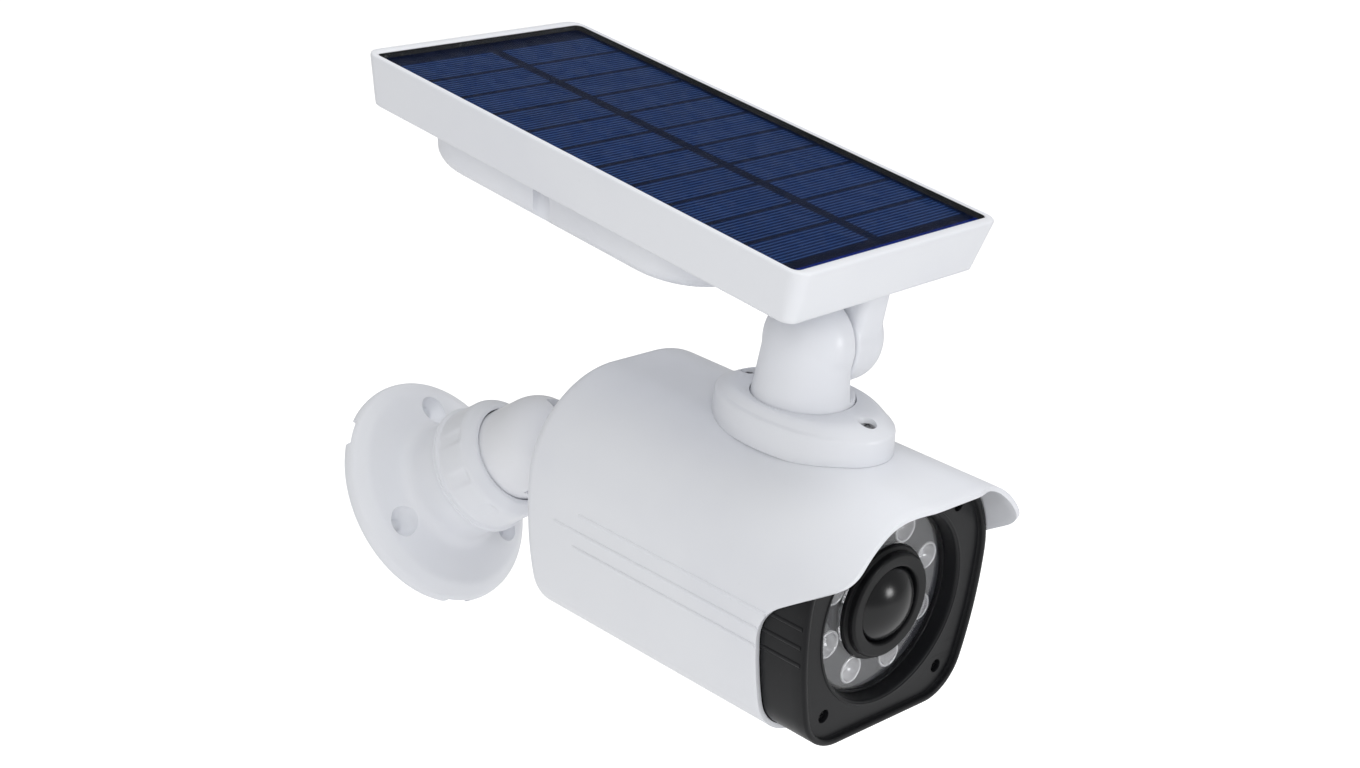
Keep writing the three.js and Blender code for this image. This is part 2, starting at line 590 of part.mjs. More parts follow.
// Push button in the belly, with a flange that keeps it in.
const buttonTop = -section.belly + shell.wall;
const buttonCrown = buttonTop + GAP + button.travel + 0.2;
put(cameraGroup, 'power_button', rod(button.r, -section.belly - button.proud, buttonCrown, 24)
  .add(rod(button.flangeR, buttonTop + GAP, buttonTop + GAP + button.flangeT, 24))
  .translate([0, -button.fromRear, 0]), rubber);
const switchFoot = buttonTop + GAP + button.flangeT + button.travel + 1.2;
put(cameraGroup, 'button_switch', boxAt(8, 8, -mainBoard.drop - mainBoard.t / 2 - GAP - switchFoot, 0,
  -button.fromRear, (switchFoot - mainBoard.drop - mainBoard.t / 2 - GAP) / 2), black);

// ---------------------------------------------------------------- collar and neck
function collarBody() {
  const c = collar;
  const y = -c.fromRear;
  const socket = [0, -neck.fromRear, 0];
  const steps = 32;
  let body = loft([oval(c.halfW, c.halfL, c.squareness, steps, y, 0),
    oval(c.halfW - 0.3, c.halfL - 0.3, c.squareness, steps, y, c.edge - 0.8),
    oval(c.halfW - 1.1, c.halfL - 1.1, c.squareness, steps, y, c.edge + 0.2),
    oval(c.plateauW + 1, c.plateauL + 3, c.squareness, steps, y, c.top - 0.5),
    oval(c.plateauW, c.plateauL, c.squareness, steps, y, c.top)]);
  const below = loft([outlineRing(-GAP, -2 * c.fromRear), outlineRing(-GAP, 0)]);
  body = body.subtract(below)
    .subtract(rod(neck.stubR + TURN_GAP, 0, c.top + REACH, round).translate(socket))
    .subtract(rod(neck.footR + TURN_GAP, c.socketFloor, c.top + REACH, round).translate(socket));
  for (const side of [-1, 1]) {
    const at = [0, y + side * c.screwPitch, 0];
    body = body.subtract(rod(c.screwR + GAP, 0, c.top, 12).translate(at))
      .subtract(rod(c.screwHeadR + GAP, c.edge - c.screwSink, c.top, 18).translate(at));
  }
  return body;
}
put(cameraGroup, 'collar', collarBody(), white);
for (const [side, name] of [[-1, 'front'], [1, 'rear']]) {
  const floor = collar.edge - collar.screwSink + GAP;
  put(cameraGroup, `collar_screw_${name}`, rod(collar.screwHeadR, floor, floor + 1.8, 18)
    .add(rod(collar.screwR, section.crown - shell.wall + 0.1, floor + 0.5, 10))
    .translate([0, -collar.fromRear + side * collar.screwPitch, 0]), steel);
}

const neckGroup = new THREE.Group();
// Tapered upright, rounded elbow, and a barrel along X up to the hinge seam.
function neckBody() {
  const n = neck;
  const foot = collar.socketFloor + GAP;
  const upright = turned([[0, n.stubFoot], [n.stubR, n.stubFoot], [n.stubR, foot], [n.footR, foot],
    [n.footR, foot + 1], [n.topR, n.hingeH - 2], [n.topR - 1.2, n.hingeH + 8], [0, n.hingeH + 8]], 24);
  const barrelShape = rodX(n.barrelR, n.barrelFrom + 5, n.seam, 0, n.hingeH, 24)
    .add(rodX(n.barrelR - 1.6, n.barrelFrom + 1.4, n.seam, 0, n.hingeH, 24))
    .add(rodX(n.barrelR - 5, n.barrelFrom, n.seam, 0, n.hingeH, 24));
  const beside = boxAt(4 * n.footR, 4 * n.footR, n.hingeH, n.seam + 2 * n.footR, 0,
    1.5 * n.hingeH - n.barrelR - 2 * GAP);
  return upright.add(barrelShape).subtract(beside)
    .subtract(rod(n.boreR, n.stubFoot - REACH, n.hingeH - 6, 24))
    .subtract(rodX(hinge.insertR + GAP, n.seam - hinge.insertL - GAP, n.seam + REACH, 0, n.hingeH));
}
put(neckGroup, 'neck', neckBody(), white);
const crownUnder = section.crown - shell.wall;
const nutTop = crownUnder - 4 * GAP;
put(neckGroup, 'neck_nut', rod(neckNut.r, nutTop - neckNut.t, nutTop, 6)
  .subtract(rod(neck.stubR + GAP, 0, crownUnder, 24)), black);
put(neckGroup, 'hinge_insert', rodX(hinge.insertR, neck.seam - hinge.insertL, neck.seam - GAP, 0, neck.hingeH)
  .subtract(rodX(hinge.screwR + GAP, -REACH * 4, REACH * 4, 0, neck.hingeH, 14)), brass);
neckGroup.position.set(0, -neck.fromRear, 0);
cameraGroup.add(neckGroup);

// ---------------------------------------------------------------- panel head
// Panel frame: origin on the hinge axis, panel face at z = panel.rise.
const panelBase = panel.rise - panel.depth;
const px0 = panel.side - panel.w / 2;
const px1 = panel.side + panel.w / 2;
const py0 = panel.back - panel.l / 2;
const py1 = panel.back + panel.l / 2;
const trayRing = (inset, z) => roundedRing(px0 + inset, px1 - inset, py0 + inset, py1 - inset,
  Math.max(panel.cornerR - 0.5 * inset, 1.5), z);

function trayBody() {
  const p = panel;
  const brim = p.rise + p.rimProud;
  const glassX = (d) => [px0 + p.rimW - d, px1 - p.rimW + d];
  const wellFloor = p.rise - p.well;
  const outside = loft([trayRing(p.draft + 1.2, panelBase), trayRing(p.draft, panelBase + 1.2),
    trayRing(0.3, brim - 0.8), trayRing(0.9, brim)]);
  const [gx0, gx1] = glassX(0);
  const well = loft([roundedRing(gx0, gx1, py0 + p.rimEnd, py1 - p.rimEnd, 2.5, wellFloor),
    roundedRing(gx0, gx1, py0 + p.rimEnd, py1 - p.rimEnd, 2.5, brim + REACH)]);
  const inset = p.draft + p.wall + 3;
  const hollow = loft([trayRing(inset, panelBase + p.floor), trayRing(inset - 1.5, wellFloor + REACH)]);
  const hatch = loft([roundedRing(px0 + 22, px1 - 22, cellY0 - 6, cellY1 + 6, 4, panelBase - REACH),
    roundedRing(px0 + 22, px1 - 22, cellY0 - 6, cellY1 + 6, 4, panelBase + p.floor + 1)]);
  let body = outside.subtract(well).subtract(hollow).subtract(hatch);
  for (const side of [-1, 1]) {
    body = body.subtract(rod(1.5, panelBase - REACH, panelBase + p.floor + 1, 12)
      .translate([panel.side + side * coverScrewX, coverMiddle, 0]));
  }
  return body;
}

const coverScrewX = cover.halfW - 3;
const coverMiddle = panel.back + (cover.front + cover.rear) / 2;

const cellY0 = panel.back + (cover.front + cover.rear) / 2 - cell18.l / 2;
const cellY1 = cellY0 + cell18.l;
put(panelGroup, 'panel_tray', trayBody(), white);
const sheet = (inset, z0, z1) => {
  const p = panel;
  const at = (z) => roundedRing(px0 + p.rimW + inset, px1 - p.rimW - inset, py0 + p.rimEnd + inset,
    py1 - p.rimEnd - inset, 2.5 - inset, z);
  return loft([at(z0), at(z1)]);
};
put(panelGroup, 'panel_glass', sheet(GAP, panel.rise - glass.t, panel.rise), clear);
put(panelGroup, 'solar_cells', sheet(GAP, panel.rise - glass.t - GAP - cells.t,
  panel.rise - glass.t - GAP), solarBlue);

// Bulged cover under the tray, open at the top, with a screw pocket in each long side.
function coverBody() {
  const c = cover;
  const top = panelBase - GAP;
  const bottom = panelBase - c.depth;
  const at = (inset, z, r) => roundedRing(panel.side - c.halfW + inset, panel.side + c.halfW - inset,
    panel.back + c.front + inset, panel.back + c.rear - inset, Math.max(r - inset, 4), z, 7);
  const outer = loft([at(c.draft + c.footR, bottom, c.cornerR), at(c.draft + 0.4 * c.footR, bottom + 0.12 * c.footR, c.cornerR),
    at(c.draft, bottom + 0.6 * c.footR, c.cornerR), at(0, top, c.cornerR)]);
  const inner = loft([at(c.draft + c.footR + c.wall, bottom + c.wall, c.cornerR),
    at(c.draft + c.wall, bottom + 0.6 * c.footR + c.wall, c.cornerR), at(c.wall, top + REACH, c.cornerR)]);
  let body = outer.subtract(inner);
  for (const side of [-1, 1]) {
    const x = panel.side + side * (c.halfW - 1);
    const post = rod(c.pocketR + c.wall, bottom + 2, top, small).translate([x, coverMiddle, 0]);
    body = body.add(post.intersect(outer))
      .subtract(rod(c.pocketR, bottom - REACH, top - 3, small).translate([x, coverMiddle, 0]))
      .subtract(rod(1.5, top - REACH, top + REACH, 12)
        .translate([panel.side + side * coverScrewX, coverMiddle, 0]));
  }
  return body;
}
put(panelGroup, 'battery_cover', coverBody(), white);
for (const [side, name] of [[-1, 'left'], [1, 'right']]) {
  const top = panelBase - GAP - 3;
  put(panelGroup, `cover_screw_${name}`, rod(cover.screwR, top - GAP - cover.screwHeadT, top - GAP, 14)
    .add(rod(1.2, top - 1, panelBase + panel.floor + 1, 10))
    .translate([panel.side + side * coverScrewX, coverMiddle, 0]), steel);
  put(panelGroup, `battery_cell_${name}`, rodY(cell18.r, cellY0, cellY1,
    panel.side + side * (cell18.r + cell18.gap / 2), panelBase - cover.depth + cover.wall + 1.6 + cell18.r, 24), cellGreen);
}
put(panelGroup, 'charge_board', boxAt(chargeBoard.w, chargeBoard.l, chargeBoard.t, panel.side,
  cellY1 + 5 + chargeBoard.l / 2, panelBase + panel.floor + 4), board);

// Disc knuckle hanging from the tray on a web, beside the neck's barrel.
function knuckleBody() {
  const x0 = neck.seam + hinge.washerT + 2 * GAP;
  const x1 = hinge.knuckleTo;
  const top = panelBase - GAP;
  const web = new THREE.Shape();
  const r = neck.barrelR;
  web.moveTo(-r, 0);
  web.absarc(0, 0, r, Math.PI, 2 * Math.PI, false);
  web.lineTo(r + 2, top);
  web.lineTo(-r - 2, top);
  web.closePath();
  const lug = new THREE.Shape();
  lug.moveTo(-r - 6, top - 3);
  lug.lineTo(r + 6, top - 3);
  lug.lineTo(r + 6, top);
  lug.lineTo(-r - 6, top);
  lug.closePath();
  return plateX(web, x0, x1, 10).add(plateX(lug, x0 - 0.5, x1 + 4))
    .subtract(rodX(hinge.screwR + GAP, x0 - REACH, x1 + REACH, 0, 0))
    .subtract(rodX(hinge.headR + GAP, x1 - hinge.headT - GAP, x1 + REACH, 0, 0, 24));
}
put(panelGroup, 'hinge_knuckle', knuckleBody(), white);
put(panelGroup, 'hinge_screw', rodX(hinge.screwR, neck.seam - hinge.insertL + 1, hinge.knuckleTo - 1, 0, 0, 14)
  .add(rodX(hinge.headR, hinge.knuckleTo - hinge.headT, hinge.knuckleTo - 0.4, 0, 0, 24)), steel);
put(panelGroup, 'hinge_washer', rodX(hinge.washerR, neck.seam + GAP, neck.seam + GAP + hinge.washerT, 0, 0, 20)
  .subtract(rodX(hinge.screwR + GAP, -REACH * 4, REACH * 4, 0, 0, 14)), rubber);

panelGroup.rotation.x = deg(pose.panelPitch);
panelGroup.position.z = neck.hingeH;
neckGroup.rotation.z = deg(pose.panelYaw);
neckGroup.add(panelGroup);

// ---------------------------------------------------------------- assembly
const pivot = new THREE.Vector3(0, 0, head.pivot).applyEuler(bracketGroup.rotation);
stemGroup.rotation.y = deg(pose.bodyRoll);
stemGroup.position.copy(pivot);
cameraGroup.position.set(pivot.x, pivot.y - stem.length, pivot.z + shell.stemDrop);
group.add(bracketGroup, stemGroup, cameraGroup);

export default group;
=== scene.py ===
"""A solar security camera on its wall bracket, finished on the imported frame.

Lengths in the tables are millimetres; the frame and every finished mesh are in metres.
"""
import json

import bpy
import numpy as np
from mathutils import Matrix, Vector


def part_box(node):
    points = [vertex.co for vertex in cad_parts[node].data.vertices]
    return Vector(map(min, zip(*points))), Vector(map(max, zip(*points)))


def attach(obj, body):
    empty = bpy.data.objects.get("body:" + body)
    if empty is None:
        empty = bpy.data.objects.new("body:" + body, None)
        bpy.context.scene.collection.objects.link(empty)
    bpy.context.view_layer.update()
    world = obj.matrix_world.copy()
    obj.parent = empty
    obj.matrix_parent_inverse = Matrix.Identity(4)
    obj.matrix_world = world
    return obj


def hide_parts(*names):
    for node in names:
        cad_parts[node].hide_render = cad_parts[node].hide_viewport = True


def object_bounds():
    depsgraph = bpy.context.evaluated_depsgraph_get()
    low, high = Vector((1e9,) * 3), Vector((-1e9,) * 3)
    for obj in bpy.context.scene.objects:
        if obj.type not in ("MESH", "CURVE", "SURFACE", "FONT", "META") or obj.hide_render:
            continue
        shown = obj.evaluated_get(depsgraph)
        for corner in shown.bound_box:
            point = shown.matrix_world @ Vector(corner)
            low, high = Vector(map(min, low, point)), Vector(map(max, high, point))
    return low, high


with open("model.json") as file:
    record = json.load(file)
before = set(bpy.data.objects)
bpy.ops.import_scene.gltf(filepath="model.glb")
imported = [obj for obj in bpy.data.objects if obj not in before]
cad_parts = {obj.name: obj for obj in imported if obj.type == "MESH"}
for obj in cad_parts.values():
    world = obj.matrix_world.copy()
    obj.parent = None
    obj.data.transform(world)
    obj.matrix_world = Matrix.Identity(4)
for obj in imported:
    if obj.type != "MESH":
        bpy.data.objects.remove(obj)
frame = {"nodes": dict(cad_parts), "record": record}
cad_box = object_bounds()

MM = 0.001
TAU = 2 * np.pi

# ------------------------------------------------------------------ seats
joints = {j["name"]: j for j in frame["record"]["behaviour"]["joints"]}


def unit(v):
    v = np.asarray(v, float)
    return v / np.linalg.norm(v)


def seat(origin, x, y):
    """A place to build in: an origin in metres and three square directions."""
    x = unit(x)
    z = unit(np.cross(x, y))
    return np.asarray(origin, float), np.stack([x, np.cross(z, x), z])


def to_frame(where, points):
    """Points in millimetres along the seat's directions, as metres in the row frame."""
    origin, axes = where
    return np.asarray(points, float) * MM @ axes + origin


wall_way = np.array(joints["bracket_swivel"]["axis"], float)
tilt_way = np.array(joints["arm_tilt"]["axis"], float)
pivot = np.array(joints["arm_tilt"]["pos_m"], float)
hinge_way = np.array(joints["panel_tilt"]["axis"], float)
hinge_at = np.array(joints["panel_tilt"]["pos_m"], float)

WALL = seat((0, 0, 0), tilt_way, np.cross(wall_way, tilt_way))
STEM = seat(pivot, tilt_way, (0, 1, 0))
shell_lo, shell_hi = (np.array(c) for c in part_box("housing"))
BELLY = 46.0
BODY = seat(((shell_lo[0] + shell_hi[0]) / 2, shell_hi[1], shell_lo[2] + BELLY * MM),
            (1, 0, 0), (0, 1, 0))
NECK = seat((hinge_at[0], hinge_at[1], BODY[0][2]), hinge_way, np.cross((0, 0, 1), hinge_way))
PITCH = np.radians(6.85)
PANEL = seat(hinge_at, hinge_way,
             np.cos(PITCH) * np.cross((0, 0, 1), hinge_way) + np.sin(PITCH) * np.array([0, 0, 1.0]))

# ------------------------------------------------------------------ sizes
FRONT = -116.3                 # housing's lower front edge
FACE = FRONT - 17.5            # flat face of the bezel
WALL_T = 1.8
PIVOT_H = 61.0
SECTION = dict(half=48.3, crown=47.3, crown_r=38.0, side_r=150.0, belly_r=20.5)
LAMP_COUNT = 8
LAMP_PCR = 25.6
RISE = 44.0                    # panel face above its hinge
TRAY = dict(w=107.4, l=208.0, side=4.7, back=78.0, depth=18.6)
COVER = dict(half=40.0, front=-52.0, rear=96.0, depth=18.5)


# ------------------------------------------------------------------ curves
def soften(points, steps=6):
    """A line of (across, along, radius) corners: each corner with a radius becomes the
    quadratic curve between the points that far along its two edges."""
    line = np.array([p[:2] for p in points], float)
    out = []
    for i, corner in enumerate(points):
        radius = corner[2] if len(corner) > 2 else 0
        if not radius or i in (0, len(points) - 1):
            out.append(line[i:i + 1])
            continue
        back, ahead = line[i - 1] - line[i], line[i + 1] - line[i]
        back_l, ahead_l = np.hypot(*back), np.hypot(*ahead)
        back *= min(radius, 0.48 * back_l) / back_l
        ahead *= min(radius, 0.48 * ahead_l) / ahead_l
        t = np.linspace(0, 1, steps)[:, None]
        out.append(line[i] + (1 - t) ** 2 * back + t ** 2 * ahead)
    return np.concatenate(out)


def arc(cx, cz, r, start, end, count):
    """Points of a circle about (cx, cz), from one angle to another."""
    a = np.linspace(start, end, count)
    return np.stack([cx + r * np.cos(a), cz + r * np.sin(a)], -1)


def outline(inset):
    """Housing section in X and Z: flat belly, belly corner, bulging side, wide crown
    corner and flat crown, each an arc moved inwards by inset, then mirrored."""
    s = SECTION
    side_top = s["crown"] - s["crown_r"]
    turn = np.arcsin((side_top + BELLY - s["belly_r"]) / (s["side_r"] - s["belly_r"]))
    belly_x = s["half"] - s["side_r"] + (s["side_r"] - s["belly_r"]) * np.cos(turn)
    flat = np.linspace(0, 1, 6, endpoint=False)[:, None]
    corner = arc(belly_x, s["belly_r"] - BELLY, s["belly_r"] - inset, -np.pi / 2, -turn, 16)
    side = arc(s["half"] - s["side_r"], side_top, s["side_r"] - inset, -turn, 0, 44)[1:]
    crown = arc(s["half"] - s["crown_r"], side_top, s["crown_r"] - inset, 0, np.pi / 2, 34)[1:]
    half = np.concatenate([np.array([[0, inset - BELLY]]) * (1 - flat) + corner[0] * flat,
                           corner, side, crown,
                           (crown[-1] * (1 - flat) + np.array([[0, s["crown"] - inset]]) * flat)[1:],
                           [[0, s["crown"] - inset]]])
    return np.concatenate([half, (half * [-1, 1])[::-1][1:-1]])


def side_at(z):
    """Half width of the housing at height z."""
    s = SECTION
    fall = s["crown"] - s["crown_r"] - z
    return s["half"] - s["side_r"] + np.sqrt(s["side_r"] ** 2 - fall ** 2)


def bend(p, q, r, count=12):
    """Quadratic curve from p towards q and on to r."""
    t = np.linspace(0, 1, count)[:, None]
    p, q, r = (np.array(v, float) for v in (p, q, r))
    return (1 - t) ** 2 * p + 2 * t * (1 - t) * q + t ** 2 * r


def hood_edge(z):
    """How far forward the shell reaches at height z: straight below the lens, then a
    curve that sweeps up and forward into the hood."""
    b = 11.0
    line = np.concatenate([[[FRONT, -100.0]],
                           bend((FRONT, -6), (FRONT, -6 + b), (FRONT - b, -6 + 1.6 * b)),
                           bend((FRONT - 33.9 + 0.6 * b, 27 - 0.4 * b), (FRONT - 33.9, 27),
                                (FRONT - 33.9, 27 + 0.5 * b)),
                           bend((FRONT - 33.9, 42), (FRONT - 33.9, SECTION["crown"] - 1),
                                (FRONT - 38.2, SECTION["crown"]))])
    return np.interp(z, line[:, 1], line[:, 0])


def oval(half_w, half_l, power, cx, cy, count=96):
    """Super-ellipse in X and Y."""
    a = np.linspace(0, TAU, count, endpoint=False)
    c, s = np.cos(a), np.sin(a)
    return np.stack([cx + half_w * np.sign(c) * np.abs(c) ** (2 / power),
                     cy + half_l * np.sign(s) * np.abs(s) ** (2 / power)], -1)


def round_rect(x0, x1, y0, y1, r, steps=10):
    """Rectangle in X and Y with quarter circles for corners."""
    corners = ((x1 - r, y0 + r, -0.25), (x1 - r, y1 - r, 0), (x0 + r, y1 - r, 0.25), (x0 + r, y0 + r, 0.5))
    return np.concatenate([arc(cx, cy, r, f * TAU, (f + 0.25) * TAU, steps) for cx, cy, f in corners])


def level(flat, height):
    """A flat outline lifted to a height, or to a height for each of its points."""
    return np.column_stack([flat, np.broadcast_to(height, len(flat))])


def upright(flat, y):
    """An outline in X and Z stood at a depth, or at a depth for each of its points."""
    return np.stack([flat[:, 0], np.broadcast_to(y, len(flat)), flat[:, 1]], -1)


# ------------------------------------------------------------------ meshes
def skin(name, rows, where, tips=(None, None), wrap=False):
    """Quads between neighbouring rings of points, a fan from each end ring to its tip,
    turned as one so that the enclosed volume is positive. The local place of every point
    is kept in the attribute seat_mm."""
    rows = np.asarray(rows, float)
    points = rows.reshape(-1, 3)
    index = np.arange(len(points)).reshape(rows.shape[:2])
    beside = np.roll(index, -1, axis=1)
    last = None if wrap else -1
    quads = np.stack([index[:last], beside[:last], np.roll(beside, -1, axis=0)[:last],
                      np.roll(index, -1, axis=0)[:last]], -1).reshape(-1, 4)
    fans = np.zeros((0, 3), int)
    for tip, ring, near in ((tips[0], index[0], True), (tips[1], index[-1], False)):
        if tip is None:
            continue
        points = np.vstack([points, tip])
        centre = np.full(len(ring), len(points) - 1)
        after = np.roll(ring, -1)
        fans = np.vstack([fans, np.stack([after, ring, centre] if near else [ring, after, centre], -1)])
    tris = np.vstack([quads[:, :3], quads[:, [0, 2, 3]], fans])
    p = (points - points.mean(axis=0))[tris]
    if np.einsum("ij,ij->i", p[:, 0], np.cross(p[:, 1], p[:, 2])).sum() < 0:
        quads, fans = quads[:, ::-1], fans[:, ::-1]
    mesh = bpy.data.meshes.new(name)
    placed = to_frame(where, points)
    mesh.vertices.add(len(placed))
    mesh.vertices.foreach_set("co", placed.astype(np.float32).ravel())
    corners = np.concatenate([quads.ravel(), fans.ravel()])
    sizes = np.concatenate([np.full(len(quads), 4), np.full(len(fans), 3)])
    mesh.loops.add(len(corners))
    mesh.loops.foreach_set("vertex_index", corners.astype(np.int32))
    mesh.polygons.add(len(sizes))
    mesh.polygons.foreach_set("loop_start", (np.cumsum(sizes) - sizes).astype(np.int32))
    mesh.update(calc_edges=True)
    local = mesh.attributes.new("seat_mm", "FLOAT_VECTOR", "POINT")
    local.data.foreach_set("vector", points.astype(np.float32).ravel())
    mesh.validate()
    piece = bpy.data.objects.new(name, mesh)
    bpy.context.scene.collection.objects.link(piece)
    return piece


def turned(name, profile, where, axis="z", centre=(0, 0), sides=96):
    """A (radius, along) profile carried round an axis of the seat through centre. A first
    or last point of no radius is a tip; otherwise the profile closes on itself."""
    profile = np.asarray(profile, float)
    starts, ends = profile[0, 0] < 1e-6, profile[-1, 0] < 1e-6
    a = np.linspace(0, TAU, sides, endpoint=False)

    def place(radius, along):
        u, v = centre[0] + radius * np.cos(a), centre[1] + radius * np.sin(a)
        w = along + 0 * u
        order = {"z": (u, v, w), "y": (u, w, v), "x": (w, u, v)}[axis]
        return np.stack(np.broadcast_arrays(*order), -1)

    body = profile[1 if starts else 0: -1 if ends else None]
    rows = place(body[:, :1], body[:, 1:])
    tips = (place(0, profile[0, 1])[0] if starts else None, place(0, profile[-1, 1])[0] if ends else None)
    return skin(name, rows, where, tips, wrap=not (starts or ends))


def stacked(name, rings, where):
    """Rings in order, closed by a fan to the middle of the first and of the last."""
    return skin(name, np.stack(rings), where, (rings[0].mean(axis=0), rings[-1].mean(axis=0)))


def bar(name, lo, hi, where):
    """A square bar between two corners, as two rings of four."""
    x0, y0, z0 = lo
    x1, y1, z1 = hi
    square = np.array([[x0, y0], [x1, y0], [x1, y1], [x0, y1]], float)
    return stacked(name, [level(square, z0), level(square, z1)], where)


def settle(piece, *added):
    """The piece's mesh with its modifiers worked in; the objects they used are removed."""
    deps = bpy.context.evaluated_depsgraph_get()
    fresh = bpy.data.meshes.new_from_object(piece.evaluated_get(deps), depsgraph=deps)
    piece.modifiers.clear()
    old, piece.data = piece.data, fresh
    bpy.data.meshes.remove(old)
    for other in added:
        mesh = other.data
        bpy.data.objects.remove(other)
        bpy.data.meshes.remove(mesh)
    return piece


def combine(piece, how, others):
    """Boolean of a piece with others: DIFFERENCE takes them away, UNION joins them."""
    for other in others:
        m = piece.modifiers.new(how.lower(), "BOOLEAN")
        m.operation = how
        m.solver = "EXACT"
        m.object = other
    return settle(piece, *others)


def carve(piece, *cutters):
    return combine(piece, "DIFFERENCE", cutters)


def melt(piece, voxel=0.7, rounds=8):
    """Skin remade from small cells and smoothed, so that joined solids flow together."""
    m = piece.modifiers.new("cells", "REMESH")
    m.mode = "VOXEL"
    m.voxel_size = voxel * MM
    s = piece.modifiers.new("flow", "SMOOTH")
    s.factor = 0.5
    s.iterations = rounds
    return settle(piece)


def finish_piece(piece, material, body, replaces=(), edge=0.0, angle=34):
    """Material, rounded edges, shading, and the CAD nodes that the piece stands for."""
    piece.data.materials.clear()
    piece.data.materials.append(material)
    piece.data.shade_smooth()
    if edge:
        m = piece.modifiers.new("edges", "BEVEL")
        m.width = edge * MM
        m.segments = 2
        m.limit_method = "ANGLE"
        m.angle_limit = np.radians(angle)
        m.use_clamp_overlap = True
        settle(piece)
    piece.data.shade_smooth()
    piece.data.set_sharp_from_angle(angle=np.radians(angle))
    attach(piece, body)
    if replaces:
        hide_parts(*([replaces] if isinstance(replaces, str) else replaces))
    return piece


# ------------------------------------------------------------------ materials
def node_group(name, inputs, outputs):
    """An empty shader group with named sockets: (name, kind, value) in, (name, kind) out."""
    group = bpy.data.node_groups.new(name, "ShaderNodeTree")
    for label, kind, value in inputs:
        socket = group.interface.new_socket(label, in_out="INPUT", socket_type="NodeSocket" + kind)
        socket.default_value = value
    for label, kind in outputs:
        group.interface.new_socket(label, in_out="OUTPUT", socket_type="NodeSocket" + kind)
    return group, group.nodes.new("NodeGroupInput"), group.nodes.new("NodeGroupOutput")


class Bench:
    """Short ways to add and wire shader nodes in one tree."""

    def __init__(self, tree):
        self.tree = tree

    def node(self, kind, **values):
        made = self.tree.nodes.new("ShaderNode" + kind)
        for key, value in values.items():
            setattr(made, key, value)
        return made

    def wire(self, value, socket):
        if isinstance(value, bpy.types.NodeSocket):
            self.tree.links.new(value, socket)
        else:
            socket.default_value = value

    def math(self, operation, *values):
        made = self.node("Math", operation=operation)
        for i, value in enumerate(values):
            self.wire(value, made.inputs[i])
        return made.outputs[0]

    def blend(self, amount, first, second):
        made = self.node("Mix", data_type="RGBA")
        self.wire(amount, made.inputs["Factor"])
        self.wire(first, made.inputs["A"])
        self.wire(second, made.inputs["B"])
        return next(s for s in made.outputs if s.type == "RGBA")

    def noise(self, where, scale, detail=2.0, rough=0.5, warp=0.0):
        made = self.node("TexNoise")
        self.wire(where, made.inputs["Vector"])
        for label, value in (("Scale", scale), ("Detail", detail), ("Roughness", rough),
                             ("Distortion", warp)):
            self.wire(value, made.inputs[label])
        return made.outputs[0]

    def stretched(self, where, scale):
        made = self.node("Mapping")
        self.wire(where, made.inputs["Vector"])
        made.inputs["Scale"].default_value = scale
        return made.outputs[0]

    def band(self, value, low, high):
        made = self.node("MapRange", interpolation_type="SMOOTHSTEP")
        self.wire(value, made.inputs["Value"])
        self.wire(low, made.inputs["From Min"])
        self.wire(high, made.inputs["From Max"])
        return made.outputs[0]


def moulded_group():
    """Moulded plastic: faint cloudy tint, fine orange-peel grain, handling marks and dust."""
    group, into, out = node_group(
        "moulded_plastic",
        [("Place", "Vector", (0, 0, 0)), ("Colour", "Color", (1, 1, 1, 1)),
         ("Shade", "Color", (1, 1, 1, 1)), ("Gloss", "Float", 0.3), ("Grain Scale", "Float", 900.0),
         ("Marks", "Float", 0.4), ("Dust", "Float", 0.1)],
        [("Colour", "Color"), ("Roughness", "Float"), ("Height", "Float")])
    b = Bench(group)
    place = into.outputs["Place"]
    cloud = b.noise(place, 14.0, 3.0)
    tint = b.blend(b.band(cloud, 0.35, 0.7), into.outputs["Colour"], into.outputs["Shade"])
    grain = b.noise(place, into.outputs["Grain Scale"], 2.0, 0.6)
    ripple = b.noise(place, 160.0, 1.0)
    streak = b.noise(b.stretched(place, (40, 900, 160)), 1.0, 3.0, 0.65, 0.6)
    marks = b.math("MULTIPLY", b.band(streak, 0.62, 0.74), into.outputs["Marks"])
    dust = b.math("MULTIPLY", b.band(b.noise(place, 420.0, 4.0, 0.7), 0.60, 0.78), into.outputs["Dust"])
    soiled = b.blend(dust, tint, (0.46, 0.43, 0.38, 1))
    rough = b.math("ADD", into.outputs["Gloss"], b.math("MULTIPLY", marks, 0.16))
    rough = b.math("ADD", rough, b.math("MULTIPLY", b.math("SUBTRACT", cloud, 0.5), 0.10))
    rough = b.math("ADD", rough, b.math("MULTIPLY", dust, 0.35))
    height = b.math("ADD", b.math("MULTIPLY", grain, 0.5), b.math("MULTIPLY", ripple, 0.5))
    height = b.math("SUBTRACT", height, b.math("MULTIPLY", marks, 0.35))
    b.wire(soiled, out.inputs["Colour"])
    b.wire(rough, out.inputs["Roughness"])
    b.wire(height, out.inputs["Height"])
    return group


